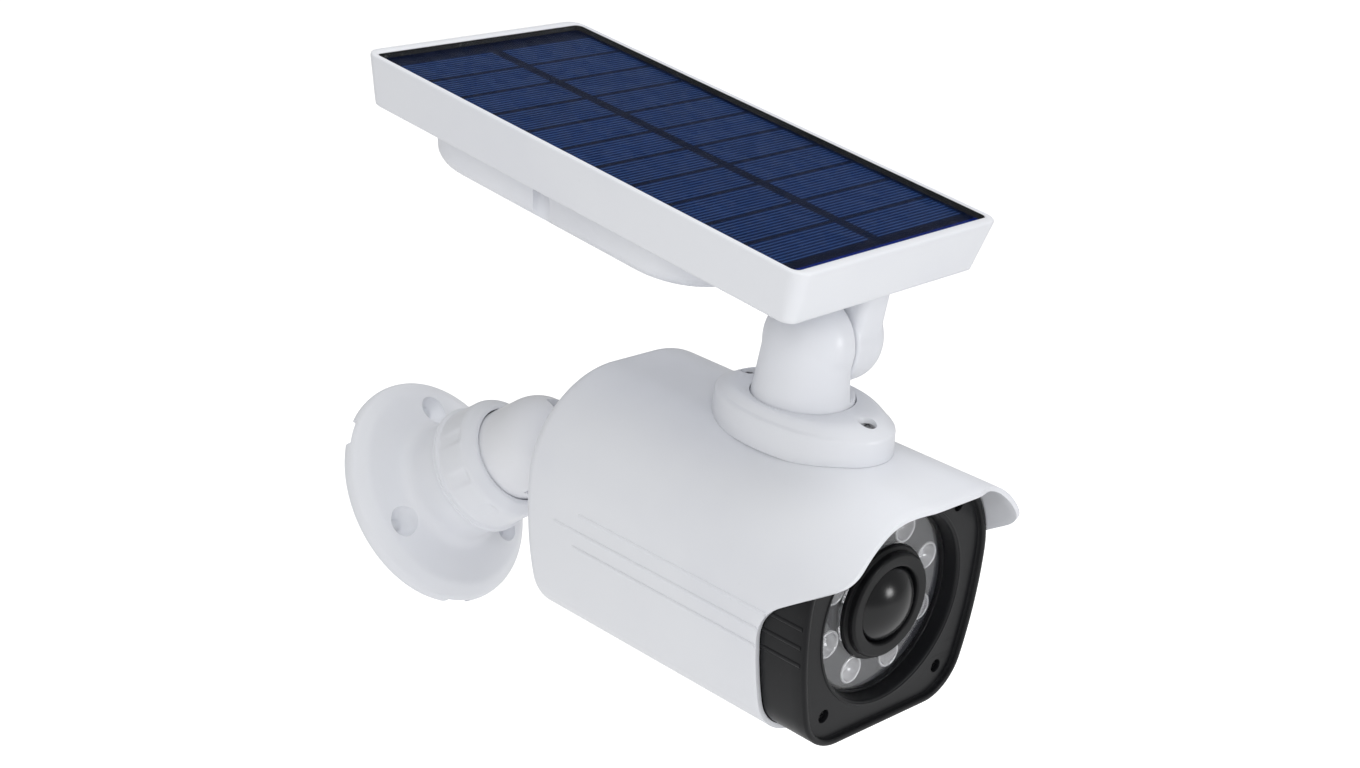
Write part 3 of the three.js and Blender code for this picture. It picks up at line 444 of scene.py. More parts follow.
def worked_group():
    """Worked metal: brushed lines, cloudy tone and small dark pits."""
    group, into, out = node_group(
        "worked_metal",
        [("Place", "Vector", (0, 0, 0)), ("Colour", "Color", (1, 1, 1, 1)), ("Dark", "Color", (0, 0, 0, 1)),
         ("Gloss", "Float", 0.3), ("Lines", "Vector", (200, 4000, 200))],
        [("Colour", "Color"), ("Roughness", "Float"), ("Height", "Float")])
    b = Bench(group)
    place = into.outputs["Place"]
    lined = b.node("VectorMath", operation="MULTIPLY")
    b.wire(place, lined.inputs[0])
    b.wire(into.outputs["Lines"], lined.inputs[1])
    lines = b.noise(lined.outputs[0], 1.0, 3.0, 0.6)
    cloud = b.noise(place, 90.0, 3.0)
    pits = b.band(b.noise(place, 1500.0, 2.0, 0.6), 0.64, 0.72)
    tone = b.blend(b.band(cloud, 0.3, 0.8), into.outputs["Colour"], into.outputs["Dark"])
    b.wire(b.blend(b.math("MULTIPLY", pits, 0.5), tone, into.outputs["Dark"]), out.inputs["Colour"])
    rough = b.math("ADD", into.outputs["Gloss"], b.math("MULTIPLY", b.math("SUBTRACT", lines, 0.4), 0.3))
    b.wire(rough, out.inputs["Roughness"])
    b.wire(b.math("SUBTRACT", lines, b.math("MULTIPLY", pits, 0.6)), out.inputs["Height"])
    return group


MOULDED = moulded_group()
WORKED = worked_group()


def principled(name):
    """A fresh material, its bench, and its Principled shader."""
    made = bpy.data.materials.new(name)
    made.use_nodes = True
    b = Bench(made.node_tree)
    return made, b, made.node_tree.nodes["Principled BSDF"]


def bump(b, shader, height, strength, distance):
    made = b.node("Bump")
    made.inputs["Strength"].default_value = strength
    made.inputs["Distance"].default_value = distance * MM
    b.wire(height, made.inputs["Height"])
    b.wire(made.outputs[0], shader.inputs["Normal"])


def plastic(name, colour, shade, gloss, grain=900.0, marks=0.4, dust=0.05, coat=0.0, relief=0.05,
            sheen_ior=1.46):
    """Moulded plastic with its own tone, gloss and grain."""
    made, b, shader = principled(name)
    group = b.node("Group", node_tree=MOULDED)
    b.wire(b.node("TexCoord").outputs["Object"], group.inputs["Place"])
    for label, value in (("Colour", (*colour, 1)), ("Shade", (*shade, 1)), ("Gloss", gloss),
                         ("Grain Scale", grain), ("Marks", marks), ("Dust", dust)):
        group.inputs[label].default_value = value
    b.wire(group.outputs["Colour"], shader.inputs["Base Color"])
    b.wire(group.outputs["Roughness"], shader.inputs["Roughness"])
    shader.inputs["IOR"].default_value = sheen_ior
    shader.inputs["Coat Weight"].default_value = coat
    shader.inputs["Coat Roughness"].default_value = 0.08
    bump(b, shader, group.outputs["Height"], 0.35, relief)
    return made


def metal(name, colour, dark, gloss, lines=(200, 4000, 200)):
    """Worked metal with its own tone and direction of brushing."""
    made, b, shader = principled(name)
    group = b.node("Group", node_tree=WORKED)
    b.wire(b.node("TexCoord").outputs["Object"], group.inputs["Place"])
    for label, value in (("Colour", (*colour, 1)), ("Dark", (*dark, 1)), ("Gloss", gloss), ("Lines", lines)):
        group.inputs[label].default_value = value
    b.wire(group.outputs["Colour"], shader.inputs["Base Color"])
    b.wire(group.outputs["Roughness"], shader.inputs["Roughness"])
    shader.inputs["Metallic"].default_value = 1.0
    bump(b, shader, group.outputs["Height"], 0.3, 0.02)
    return made


def clear(name, colour, gloss, ior):
    """Clear plastic or glass with faint smears; shadows pass through it."""
    made, b, shader = principled(name)
    place = b.node("TexCoord").outputs["Object"]
    smear = b.band(b.noise(b.stretched(place, (60, 25, 60)), 1.0, 4.0, 0.6, 0.8), 0.5, 0.8)
    b.wire(b.math("ADD", gloss, b.math("MULTIPLY", smear, 0.05)), shader.inputs["Roughness"])
    shader.inputs["Base Color"].default_value = (*colour, 1)
    shader.inputs["Transmission Weight"].default_value = 1.0
    shader.inputs["IOR"].default_value = ior
    bump(b, shader, smear, 0.05, 0.02)
    through = b.node("BsdfTransparent")
    through.inputs["Color"].default_value = (*colour, 1)
    mix = b.node("MixShader")
    rays = b.node("LightPath")
    b.wire(rays.outputs["Is Shadow Ray"], mix.inputs[0])
    b.wire(shader.outputs[0], mix.inputs[1])
    b.wire(through.outputs[0], mix.inputs[2])
    b.wire(mix.outputs[0], made.node_tree.nodes["Material Output"].inputs["Surface"])
    return made


def cells_material(name):
    """Silicon cells: two columns parted by a dark stripe, rows parted by dark lines, a comb
    of pale fingers across each row, blank dark bands at the two ends, and a tone of its own
    for each cell."""
    made, b, shader = principled(name)
    local = b.node("Attribute", attribute_name="seat_mm")
    axes = b.node("SeparateXYZ")
    b.wire(local.outputs["Vector"], axes.inputs[0])
    across = b.math("SUBTRACT", axes.outputs[0], TRAY["side"])
    along = b.math("SUBTRACT", axes.outputs[1], TRAY["back"] - 92.0)
    row_pitch, finger = 16.7, 1.67
    row = b.math("FRACT", b.math("DIVIDE", along, row_pitch))
    between = b.math("MAXIMUM", b.math("LESS_THAN", row, 0.075), b.math("GREATER_THAN", row, 0.975))
    comb = b.math("LESS_THAN", b.math("FRACT", b.math("DIVIDE", along, finger)), 0.30)
    offset = b.math("ABSOLUTE", across)
    stripe = b.math("LESS_THAN", offset, 2.5)
    margin = b.math("GREATER_THAN", offset, 49.2)
    ends = b.math("MAXIMUM", b.math("LESS_THAN", along, 0.0), b.math("GREATER_THAN", along, 11 * row_pitch))
    blank = b.math("MAXIMUM", b.math("MAXIMUM", stripe, margin), b.math("MAXIMUM", between, ends))
    number = b.node("CombineXYZ")
    b.wire(b.math("FLOOR", b.math("DIVIDE", along, row_pitch)), number.inputs[0])
    b.wire(b.math("SIGN", across), number.inputs[1])
    tone = b.node("TexWhiteNoise")
    b.wire(number.outputs[0], tone.inputs["Vector"])
    grain = b.node("TexVoronoi")
    b.wire(local.outputs["Vector"], grain.inputs["Vector"])
    grain.inputs["Scale"].default_value = 0.22
    flakes = b.node("SeparateColor")
    b.wire(grain.outputs["Color"], flakes.inputs[0])
    mottled = b.math("ADD", b.math("MULTIPLY", flakes.outputs[0], 0.35),
                     b.math("MULTIPLY", tone.outputs["Value"], 0.5))
    blue = b.blend(mottled, (0.0016, 0.0068, 0.028, 1), (0.0024, 0.0100, 0.042, 1))
    lined = b.blend(b.math("MULTIPLY", comb, 0.9), blue, (0.016, 0.048, 0.142, 1))
    lip = b.math("LESS_THAN", along, -3.4)
    dark = b.blend(lip, (0.0012, 0.0030, 0.012, 1), (0.0016, 0.0090, 0.095, 1))
    b.wire(b.blend(blank, lined, dark), shader.inputs["Base Color"])
    b.wire(b.math("ADD", 0.32, b.math("MULTIPLY", flakes.outputs[1], 0.12)), shader.inputs["Roughness"])
    bare = b.math("MULTIPLY", comb, b.math("SUBTRACT", 1.0, blank))
    b.wire(b.math("MULTIPLY", bare, 0.3), shader.inputs["Metallic"])
    shader.inputs["Specular IOR Level"].default_value = 0.02
    bump(b, shader, b.math("ADD", comb, b.math("MULTIPLY", flakes.outputs[0], 0.3)), 0.06, 0.02)
    return made


def board_material(name):
    """Solder mask with paler tracks in a square maze and tinned pads."""
    made, b, shader = principled(name)
    place = b.node("TexCoord").outputs["Object"]
    maze = b.node("TexVoronoi", distance="CHEBYCHEV")
    b.wire(place, maze.inputs["Vector"])
    maze.inputs["Scale"].default_value = 260.0
    track = b.band(maze.outputs["Distance"], 0.28, 0.34)
    pad = b.math("LESS_THAN", maze.outputs["Distance"], 0.10)
    mask = b.blend(track, (0.012, 0.10, 0.045, 1), (0.02, 0.17, 0.07, 1))
    b.wire(b.blend(pad, mask, (0.62, 0.60, 0.55, 1)), shader.inputs["Base Color"])
    b.wire(pad, shader.inputs["Metallic"])
    b.wire(b.math("ADD", 0.35, b.math("MULTIPLY", b.noise(place, 300.0), 0.15)), shader.inputs["Roughness"])
    bump(b, shader, track, 0.4, 0.03)
    return made


WHITE = plastic("white_abs", (0.80, 0.815, 0.85), (0.76, 0.775, 0.82), 0.30, marks=0.35)
HEAD_WHITE = plastic("polished_white_abs", (0.82, 0.83, 0.86), (0.79, 0.80, 0.84), 0.30, grain=500,
                     marks=0.2, coat=0.22, relief=0.02)
BLACK = plastic("charcoal_abs", (0.0052, 0.0055, 0.0066), (0.0080, 0.0084, 0.0098), 0.34, grain=1400,
                marks=0.5, dust=0.015, relief=0.06, sheen_ior=1.30)
BARREL_BLACK = plastic("barrel_black", (0.0040, 0.0042, 0.0050), (0.0060, 0.0062, 0.0070), 0.30,
                       grain=1200, marks=0.3, dust=0.01, sheen_ior=1.28)
DOME_BLACK = plastic("dome_black", (0.0015, 0.0016, 0.0022), (0.0022, 0.0024, 0.0032), 0.20,
                     grain=200, marks=0.1, dust=0.004, relief=0.004, sheen_ior=1.46)
RUBBER = plastic("soft_rubber", (0.012, 0.012, 0.012), (0.022, 0.021, 0.020), 0.66, grain=2200,
                 marks=0.2, dust=0.2, relief=0.1)
SLEEVE = plastic("shrink_sleeve", (0.03, 0.30, 0.36), (0.02, 0.24, 0.30), 0.34, grain=300, marks=0.3)
SMOKE = plastic("smoked_plate", (0.034, 0.035, 0.040), (0.026, 0.027, 0.031), 0.30, grain=300,
                marks=0.2, dust=0.01, relief=0.01, sheen_ior=1.3)
OPTIC = plastic("lamp_optic", (0.60, 0.59, 0.60), (0.46, 0.455, 0.465), 0.14, grain=400, marks=0.15,
                dust=0.01, coat=0.7, relief=0.006)
STEEL = metal("zinc_steel", (0.40, 0.40, 0.41), (0.16, 0.16, 0.17), 0.26, (900, 900, 2600))
BRASS = metal("turned_brass", (0.62, 0.44, 0.17), (0.34, 0.22, 0.08), 0.28)
CLEAR = clear("clear_acrylic", (0.97, 0.98, 0.99), 0.02, 1.42)
GLASS = clear("panel_glass_clear", (0.92, 0.95, 0.99), 0.03, 1.022)
GLASS.node_tree.nodes["Principled BSDF"].inputs["Specular IOR Level"].default_value = 0.3
CELLS = cells_material("silicon_cells")
BOARD = board_material("green_board")
OPTIC.node_tree.nodes["Principled BSDF"].inputs["Metallic"].default_value = 0.25

# ------------------------------------------------------------------ wall bracket
HEAD_R = 18.4           # swivel head
PIN_BORE = 2.8          # radius of the bores for the tilt pin
SLOT_FLOOR = 8.6        # radius of the slot's floor about the pivot
BEZEL_SCREW_X = 29.4
BUTTON_SPOT = (0, -40)  # of the power button, along the housing
COLLAR_SCREWS = 27      # each side of the collar's middle
NECK_Y = -84.3          # of the neck's axis
BARREL_Z = 79           # height of the neck's cross barrel
DOME_R, DOME_RISE = 13.3, 5.6


def plug(name, radius, low, high, where, *place, **more):
    """A plain cylinder from low to high along the axis."""
    return turned(name, [(0, low), (radius, low), (radius, high), (0, high)], where, *place, **more)


def wall_flange():
    """Dish and boss: one profile carried round the wall axis, less a back pocket that
    leaves three screw posts, three countersunk holes and three keyed notches."""
    dish = turned("flange_dish", soften([
        (0, 0), (45.9, 0, 0.6), (46.2, 2.2, 0.8), (45.7, 4.6, 1.2), (40.6, 8.3, 1.6), (33.0, 9.3, 4.0),
        (26.0, 10.8, 2.2), (23.4, 14.4, 2.6), (23.4, 27.4, 0.5), (21.4, 27.4), (21.4, 36.4, 0.6),
        (18.9, 36.4, 0.4), (18.9, 24.0), (10.0, 24.0, 0.5), (10.0, 5.6), (0, 5.6)]), WALL, sides=128)
    pocket = turned("pocket", [(27.0, -3), (42.8, -3), (42.8, 4.2), (27.0, 4.2)], WALL)
    angles = np.radians([90, 210, 330])
    spots = [(32.5 * np.cos(a), 32.5 * np.sin(a)) for a in angles]
    posts = [plug(f"post_{i}", 7.8, -6, 8, WALL, centre=s) for i, s in enumerate(spots)]
    carve(pocket, *posts)
    sunk = soften([(0, -4), (2.6, -4), (2.6, 4.6, 0.6), (5.7, 8.2, 1.2), (6.6, 11.5), (6.6, 26), (0, 26)])
    holes = [turned(f"hole_{i}", sunk, WALL, centre=s, sides=48) for i, s in enumerate(spots)]
    notches = []
    for i, a in enumerate(angles + np.pi / 3):
        turn = seat((0, 0, 0), *(np.array([[np.cos(a), np.sin(a), 0], [-np.sin(a), np.cos(a), 0]]) @ WALL[1]))
        notches.append(bar(f"notch_{i}", (43.0, -6, -3), (49, 6, 3.2), turn))
    carve(dish, pocket, *holes, *notches)
    return finish_piece(dish, WHITE, "wall_mount", "wall_flange", edge=0.35)


def locking_ring():
    """Ring profile carried round the wall axis, its body dipping inwards in nine soft
    flutes: radius less depth times a raised cosine that is nought outside each flute."""
    profile = soften([
        (21.9, 27.9), (25.2, 27.9, 0.4), (25.6, 28.4, 0.4), (25.6, 29.0, 0.2), (25.2, 29.2, 0.2),
        (25.2, 29.5, 0.2), (25.6, 29.7, 0.2), (25.6, 30.2, 0.4), (24.4, 30.9, 0.8), (24.4, 43.6, 1.8),
        (20.6, 47.8, 1.2), (18.9, 47.8, 0.3), (18.9, 40.6), (21.9, 40.6)])
    a = np.linspace(0, TAU, 288, endpoint=False)
    r, h = profile[:, :1], profile[:, 1:]
    wave = np.clip(np.cos(9 * a) - 0.2, 0, 1) / 0.8
    low = np.clip((h - 31.4) / 1.6, 0, 1) * np.clip((43.4 - h) / 1.6, 0, 1) * (r > 24.0)
    r = r - 0.85 * low * wave * wave * (3 - 2 * wave)
    rows = np.stack([r * np.cos(a), r * np.sin(a), h + 0 * a], -1)
    steps = np.concatenate([[0], np.cumsum(np.hypot(*np.diff(profile, axis=0).T))])
    fine = np.unique(np.concatenate([steps, np.linspace(0, steps[-1], 90)]))
    rows = np.stack([[np.interp(fine, steps, rows[:, i, k]) for k in range(3)] for i in range(len(a))], 0)
    rows = np.moveaxis(rows, 2, 0)
    body = skin("ring_body", rows, WALL, wrap=True)
    return finish_piece(body, WHITE, "ring", "locking_ring")


def swivel_head():
    """Domed rod about the wall axis, with a slot whose floor is a half circle about the
    pivot, square to the tilt axis, and bores for the pin and the wires."""
    body = turned("head_dome", np.concatenate([
        soften([(0, 28), (HEAD_R, 28, 0.6), (HEAD_R, 36.8), (20.9, 36.8, 0.4), (20.9, 40.2, 0.4),
                (HEAD_R, 40.2), (HEAD_R, 50)]),
        arc(0, PIVOT_H, HEAD_R, 0, np.pi / 2, 30)]), WALL, sides=128)
    u = np.concatenate([[[-31, PIVOT_H - SLOT_FLOOR]], arc(0, PIVOT_H, SLOT_FLOOR, -np.pi / 2, 0, 20),
                        [[17.4, PIVOT_H + 26], [-31, PIVOT_H + 26]]])
    sides = [np.column_stack([np.full(len(u), x), u]) for x in (-4.5, 4.5)]
    slot = stacked("slot", sides, WALL)
    bore = plug("bore", PIN_BORE, -14.9, 14.9, WALL, "x", (0, PIVOT_H), 32)
    wires = plug("wires", 3.4, 20, PIVOT_H, WALL, sides=32)
    carve(body, slot, bore, wires)
    return finish_piece(body, HEAD_WHITE, "head", "swivel_head", edge=0.7)


def stem():
    """Tongue with a round eye, then a shaft turned about the seat's Y axis: fillet,
    flange and threaded end with its ridges as a sine along the axis."""
    w = 4.2
    eye = arc(0, 0, 7.7, -0.75 * np.pi + np.pi / 2, 0.75 * np.pi + np.pi / 2, 30)
    plan = np.concatenate([eye[eye[:, 1] > -5.4], [[-5.5, -5.6], [-5.5, -24], [5.5, -24], [5.5, -5.6]]])
    plan = plan[np.argsort(np.arctan2(plan[:, 1] + 8, plan[:, 0]))]
    cheeks = [np.column_stack([np.full(len(plan), x), plan[:, 1], plan[:, 0]]) for x in (-w, w)]
    tongue = stacked("stem_tongue", cheeks, STEM)
    carve(tongue, plug("eye_bore", PIN_BORE, -9, 9, STEM, "x", sides=40))
    finish_piece(tongue, HEAD_WHITE, "arm", edge=0.5)
    y = np.linspace(-60.2, -45.6, 120)
    thread = np.column_stack([7.15 + 0.25 * np.sin(TAU * y / 1.25), y])
    shaft = turned("stem_shaft", np.concatenate([
        [[0, -60.4], [6.6, -60.4]], thread,
        soften([(7.2, -44.7), (15.5, -44.7, 0.5), (15.5, -41.4, 1.2), (8.4, -40.6, 3.0), (8.0, -24, 1.4),
                (6.2, -21.4, 1.0), (0, -21.0)])]), STEM, "y", sides=72)
    finish_piece(shaft, WHITE, "arm", "stem")


# ------------------------------------------------------------------ housing
def housing():
    """Shell: the section carried from the rear to hood_edge(z) along Y; at the rear its
    inset grows as r(1 - sin t) while it runs back r cos t, which rounds the edge. A wall
    is then given to it inwards, and the button's hole is cut."""
    r = 5.5
    t = np.linspace(np.pi / 2, 0, 12)
    rounded = [upright(outline(r * (1 - np.sin(k))), -r * (1 - np.cos(k))) for k in t]
    section = outline(0)
    front = hood_edge(section[:, 1])
    share = np.linspace(0, 1, 44)[1:]
    body = [upright(section, -r + (front + r) * s) for s in share]
    # The rear rows run from the flat rear face outwards.
    rear = [upright(outline(r) * k, 0) for k in (0.25, 0.55, 0.8)]
    rows = np.stack(rear + rounded[::-1] + body)
    shell = skin("housing_shell", rows, BODY, (np.array([0, 0, 0.6]), None))
    wall = shell.modifiers.new("wall", "SOLIDIFY")
    wall.thickness = WALL_T * MM
    wall.offset = -1
    wall.use_even_offset = True
    settle(shell)
    carve(shell, plug("button_hole", 5.4, -60, -30, BODY, centre=BUTTON_SPOT, sides=64))
    return finish_piece(shell, WHITE, "camera", "housing", edge=0.45, angle=50)


def ridges(name, starts, proud, inset, front, body_at):
    """Six low ridges along Y on the housing's sides: a half sine across, ends eased by a
    sine of the distance to each end, all in one mesh of separate skins."""
    parts = []
    for height, start in zip((5.5, -1.4, -8.0), starts):
        for side in (-1, 1):
            length = np.linspace(0, 1, 40)
            a = np.linspace(0, np.pi, 9)
            stop = front(height)
            y = start + (stop - start) * length
            ease = np.sqrt(np.clip(np.minimum(length, 1.2 - length) * abs(stop - start) / 3.0, 0, 1))
            z = height + 0.85 * np.cos(a)
            out = side_at(z) - inset - 0.15
            x = side * (out[None, :] + proud * np.outer(ease, np.sin(a)))
            top = np.stack([x, np.repeat(y[:, None], 9, 1), np.repeat(z[None, :], 40, 0)], -1)
            under = top[:, ::-1][:, 1:-1].copy()
            under[..., 0] = side * (side_at(under[..., 2]) - inset - 0.7)
            loops = list(np.concatenate([top, under], axis=1))
            parts.append(stacked(f"{name}_{height}_{side}", loops, body_at))
    first, others = parts[0], parts[1:]
    for other in others:
        m = first.modifiers.new("with", "BOOLEAN")
        m.operation, m.solver, m.object = "UNION", "EXACT", other
    first.name = name
    return settle(first, *others)


def bezel():
    """Rings from the window's seat outwards: circles for the throat, seat, cone and a fine
    ridge, then the housing section inset for the face, the raised rim and the skirt."""
    across = outline(0)
    around = np.arctan2(across[:, 1], across[:, 0])
    ring = np.stack([np.cos(around), np.sin(around)], -1)

    def circle(radius, y):
        return upright(ring * radius, FACE + y)

    def section(inset, y):
        return upright(outline(inset), FACE + y)

    def between(share, y):
        return upright(ring * 36.4 * (1 - share) + outline(5.0) * share, FACE + y)

    rows = [circle(32.2, 8.0), circle(32.2, 5.6), circle(32.3, 5.4), circle(33.4, 5.3),
            circle(33.45, 4.4), circle(33.8, 2.6), circle(34.1, 1.1), circle(34.3, 0.35),
            circle(34.5, 0.1), circle(34.75, 0.0), circle(35.0, -0.05), circle(35.15, -0.28),
            circle(35.45, -0.34), circle(35.75, -0.28), circle(35.9, 0.0),
            between(0.0, 0.02), between(0.33, 0.02), between(0.66, 0.02), between(1.0, 0.02),
            section(4.75, 0.0), section(4.6, -0.2), section(4.5, -1.3), section(4.3, -1.75),
            section(3.9, -1.95),
            section(3.2, -2.0), section(2.6, -1.85), section(2.25, -1.45), section(2.1, -0.9),
            section(2.1, 4.0), section(2.1, 12.0), section(2.1, 28.4), section(3.9, 28.4), section(3.9, 5.0),
            circle(36.2, 5.0), circle(36.2, 8.0)]
    body = skin("bezel_body", np.stack(rows), BODY, wrap=True)
    well = [(0, FACE - 5), (2.55, FACE - 5), (2.55, FACE - 0.1), (2.3, FACE + 0.4), (2.3, FACE + 3.6),
            (0, FACE + 3.6)]
    spots = [(sx * BEZEL_SCREW_X, z) for sx in (-1, 1) for z in (-32, 30)]
    wells = [turned(f"well_{i}", well, BODY, "y", spot, 40) for i, spot in enumerate(spots)]
    carve(body, *wells)
    finish_piece(body, BLACK, "camera", "bezel", angle=40)
    combs = ridges("bezel_ridges", (FRONT + 4,) * 3, 0.36, 2.05, lambda z: FACE - 0.2, BODY)
    finish_piece(combs, BLACK, "camera")


def cross_screw(name, spot, axis, way, radius, height, where, body, replaces, recess=0.55, shank=0.0,
                material=None):
    """Pan head, on a shank if that has a length: an ellipse quarter carried round its axis,
    less two crossed square bars, with dark rubber bars laid in the recess as painted shade."""
    u, w = spot[:2], spot[2]
    dome = arc(0, 0, 1, 0, np.pi / 2, 10) * [radius, 0.55 * height * way] + [0, w + 0.45 * height * way]
    foot = w - 0.6 * way
    stalk = [[0, foot]]
    if shank:
        end = foot - shank * way
        stalk = [[0, end], [0.5 * radius, end], [0.5 * radius, foot]]
    head = turned(name, np.concatenate([stalk, [[radius, foot]], dome]), where, axis, u, 48)
    arm, slim, deep = radius * recess, radius * 0.13, height * 0.75
    top = w + (height + 0.5) * way
    low = w + (height - deep) * way
    cutters = []
    for i, (a, c) in enumerate(((arm, slim), (slim, arm))):
        lo = {"z": (u[0] - a, u[1] - c, min(top, low)), "y": (u[0] - a, min(top, low), u[1] - c),
              "x": (min(top, low), u[0] - a, u[1] - c)}[axis]
        hi = {"z": (u[0] + a, u[1] + c, max(top, low)), "y": (u[0] + a, max(top, low), u[1] + c),
              "x": (max(top, low), u[0] + a, u[1] + c)}[axis]
        cutters.append(bar(f"{name}_cut_{i}", lo, hi, where))
    carve(head, *cutters)
    # Black rubber bars at the bottom of the cross recess: painted shade, so the recess reads dark.
    painted_shade_z = sorted((low + 0.02 * way, low + 0.3 * deep * way))
    bars = []
    for i, (a, c) in enumerate(((arm * 0.97, slim * 0.95), (slim * 0.95, arm * 0.97))):
        corners = [(u[0] - a, u[1] - c, painted_shade_z[0]), (u[0] + a, u[1] + c, painted_shade_z[1])]
        order = {"z": (0, 1, 2), "y": (0, 2, 1), "x": (2, 0, 1)}[axis]
        bars.append(bar(f"{name}_floor_{i}", *([p[k] for k in order] for p in corners), where))
    finish_piece(combine(bars[0], "UNION", bars[1:]), RUBBER, body)
    return finish_piece(head, material or STEEL, body, replaces, edge=0.06)


# ------------------------------------------------------------------ lens, lamps and sensor
def lamp_spots():
    a = TAU * (np.arange(LAMP_COUNT) + 0.5) / LAMP_COUNT
    return np.stack([LAMP_PCR * np.cos(a), LAMP_PCR * np.sin(a)], -1)


def lens_group():
    """Clear ring, smoked plate with eight bowls, a cup with a bulb in each, stepped barrel
    and glossy dome, each a profile carried round its own axis along Y."""
    pane = FACE + 4.9
    back = pane + 2.3
    glazing = soften([(20.9, pane), (33.1, pane, 0.15), (33.1, pane + 1.9, 0.15), (20.9, pane + 1.9)])
    finish_piece(turned("window_ring", glazing, BODY, "y", sides=128), CLEAR, "camera",
                 "window")
    disc = soften([(19.3, back + 0.4), (31.9, back + 0.4, 0.2), (31.9, back + 7.2), (19.3, back + 7.2)])
    plate = turned("reflector_plate", disc, BODY, "y", sides=128)
    hollow = np.concatenate([
        [[0, back - 3], [5.25, back - 3], [5.2, back + 0.6]],
        bend((5.1, back + 0.8), (4.2, back + 4.6), (1.9, back + 5.6)), [[0, back + 5.6]]])
    carve(plate, *[turned(f"bowl_{i}", hollow, BODY, "y", s, 56) for i, s in enumerate(lamp_spots())])
    finish_piece(plate, SMOKE, "camera", "reflector", edge=0.15)
    cup = np.concatenate([
        [[0, back + 5.4], [4.4, back + 5.4], [5.1, back + 0.9]],
        arc(4.62, back + 0.35, 0.5, 0, -np.pi, 9),
        bend((4.12, back + 0.5), (3.5, back + 3.6), (2.1, back + 4.0), 10),
        arc(0, back + 4.0, 2.0, 0, -np.pi / 2, 9)])
    for i, s in enumerate(lamp_spots(), 1):
        finish_piece(turned(f"lamp_cup_{i}", cup, BODY, "y", s, 48), OPTIC, "camera",
                     f"lamp_lens_{i}")
    face = FACE + 0.6
    finish_piece(turned("barrel_body", soften([
        (13.9, face + 0.9, 0.2), (14.4, face + 0.1, 0.4), (18.2, face, 0.5), (19.0, face + 0.7, 0.3),
        (19.0, face + 2.7, 0.2), (19.7, face + 2.9, 0.3), (20.5, face + 3.0, 0.4), (20.6, face + 5.6),
        (19.0, face + 6.6), (19.0, face + 19),
        (11.9, face + 19), (11.9, face + 6.0), (13.9, face + 5.9)]), BODY, "y", sides=128),
        BARREL_BLACK, "camera", "sensor_barrel")
    lip = FACE + 2.0
    ball = (DOME_R ** 2 + DOME_RISE ** 2) / (2 * DOME_RISE)
    a = np.linspace(0, np.arcsin(DOME_R / ball), 30)
    cap = np.column_stack([ball * np.sin(a), lip - DOME_RISE + ball * (1 - np.cos(a))])
    under = np.column_stack([(ball - 1.1) * np.sin(a), lip - 4.5 + (ball - 1.1) * (1 - np.cos(a))])
    shell = np.concatenate([cap, [[DOME_R, lip + 1.4], [12.2, lip + 1.4]], under[::-1]])
    finish_piece(turned("dome_cap", shell, BODY, "y", sides=128), DOME_BLACK, "camera",
                 "sensor_dome")


# ------------------------------------------------------------------ collar and neck
def collar():
    """Super-ellipse rings from the housing's crown up a drafted side, over a soft edge
    and up a slant to a flat round the neck; two screw seats are cut in the slant."""
    cy = -86.3
    rings = [(23.5, 35.9, 45.7), (23.4, 35.8, 50), (23.2, 35.6, 55.0), (23.0, 35.4, 55.9),
             (22.6, 35.0, 56.4), (22.1, 34.4, 56.7)]
    slant = np.linspace(0, 1, 10)[1:]
    rings += [(22.1 - 2.1 * s, 34.4 - 8.6 * s, 56.7 + 3.3 * np.sin(s * np.pi / 2)) for s in slant]
    body = stacked("collar_body", [level(oval(w, l, 2.06, 0, cy + 0.9, 144), z) for w, l, z in rings], BODY)
    well = soften([(0, 40), (1.7, 40), (1.7, 56.6), (3.0, 56.6, 0.2), (3.4, 62), (0, 62)])
    cuts = [turned(f"seat_{i}", well, BODY, centre=(0, cy + dy), sides=48)
            for i, dy in enumerate((-COLLAR_SCREWS, COLLAR_SCREWS))]
    socket = turned("socket", [(0, 40), (12.6, 40), (12.6, 56.8), (18.35, 56.8), (18.35, 66), (0, 66)],
                    BODY, centre=(0, NECK_Y), sides=96)
    below = stacked("crown_below", [upright(outline(-0.12), -150), upright(outline(-0.12), 0)], BODY)
    carve(body, *cuts, socket, below)
    finish_piece(body, WHITE, "camera", "collar", edge=0.3, angle=40)
    for name, dy in (("front", -COLLAR_SCREWS), ("rear", COLLAR_SCREWS)):
        cross_screw(f"collar_head_{name}", (0, cy + dy, 57.2), "z", 1, 2.7, 1.7, BODY, "camera",
                    f"collar_screw_{name}", shank=3.4)


def neck():
    """Tapered post and cross barrel melted into one skin, then cut square at the hinge
    seam; a low ring stays at the foot."""
    post = turned("neck_post", soften([
        (0, 57.5), (18.0, 57.5), (17.9, 60.4, 0.8), (17.5, 62.0, 1.0), (16.2, 74, 4), (14.9, 84, 3),
        (12.0, 90.5, 4), (0, 92)]), NECK, sides=96)
    barrel = turned("neck_barrel", np.concatenate([
        arc(0, 0, 1, np.pi, np.pi / 2, 14)[:, ::-1] * [16.9, 14.4], [[16.9, 4.4], [0, 4.4]]]),
        NECK, "x", (0, BARREL_Z), 96)
    combine(post, "UNION", [barrel])
    melt(post, 0.6, 9)
    beside = bar("beside", (3.6, -40, 61.4), (60, 40, 120), NECK)
    insert = plug("insert", 4.7, -7.6, 9, NECK, "x", (0, BARREL_Z), 40)
    carve(post, beside, insert)
    finish_piece(post, WHITE, "neck_turret", edge=0.4, angle=45)
    stub = turned("neck_stub", soften([(0, 34), (12.2, 34, 0.5), (12.2, 57.1), (18.0, 57.1, 0.3),
                                       (18.0, 58.6), (0, 58.6)]), NECK)
    finish_piece(stub, WHITE, "neck_turret", "neck")


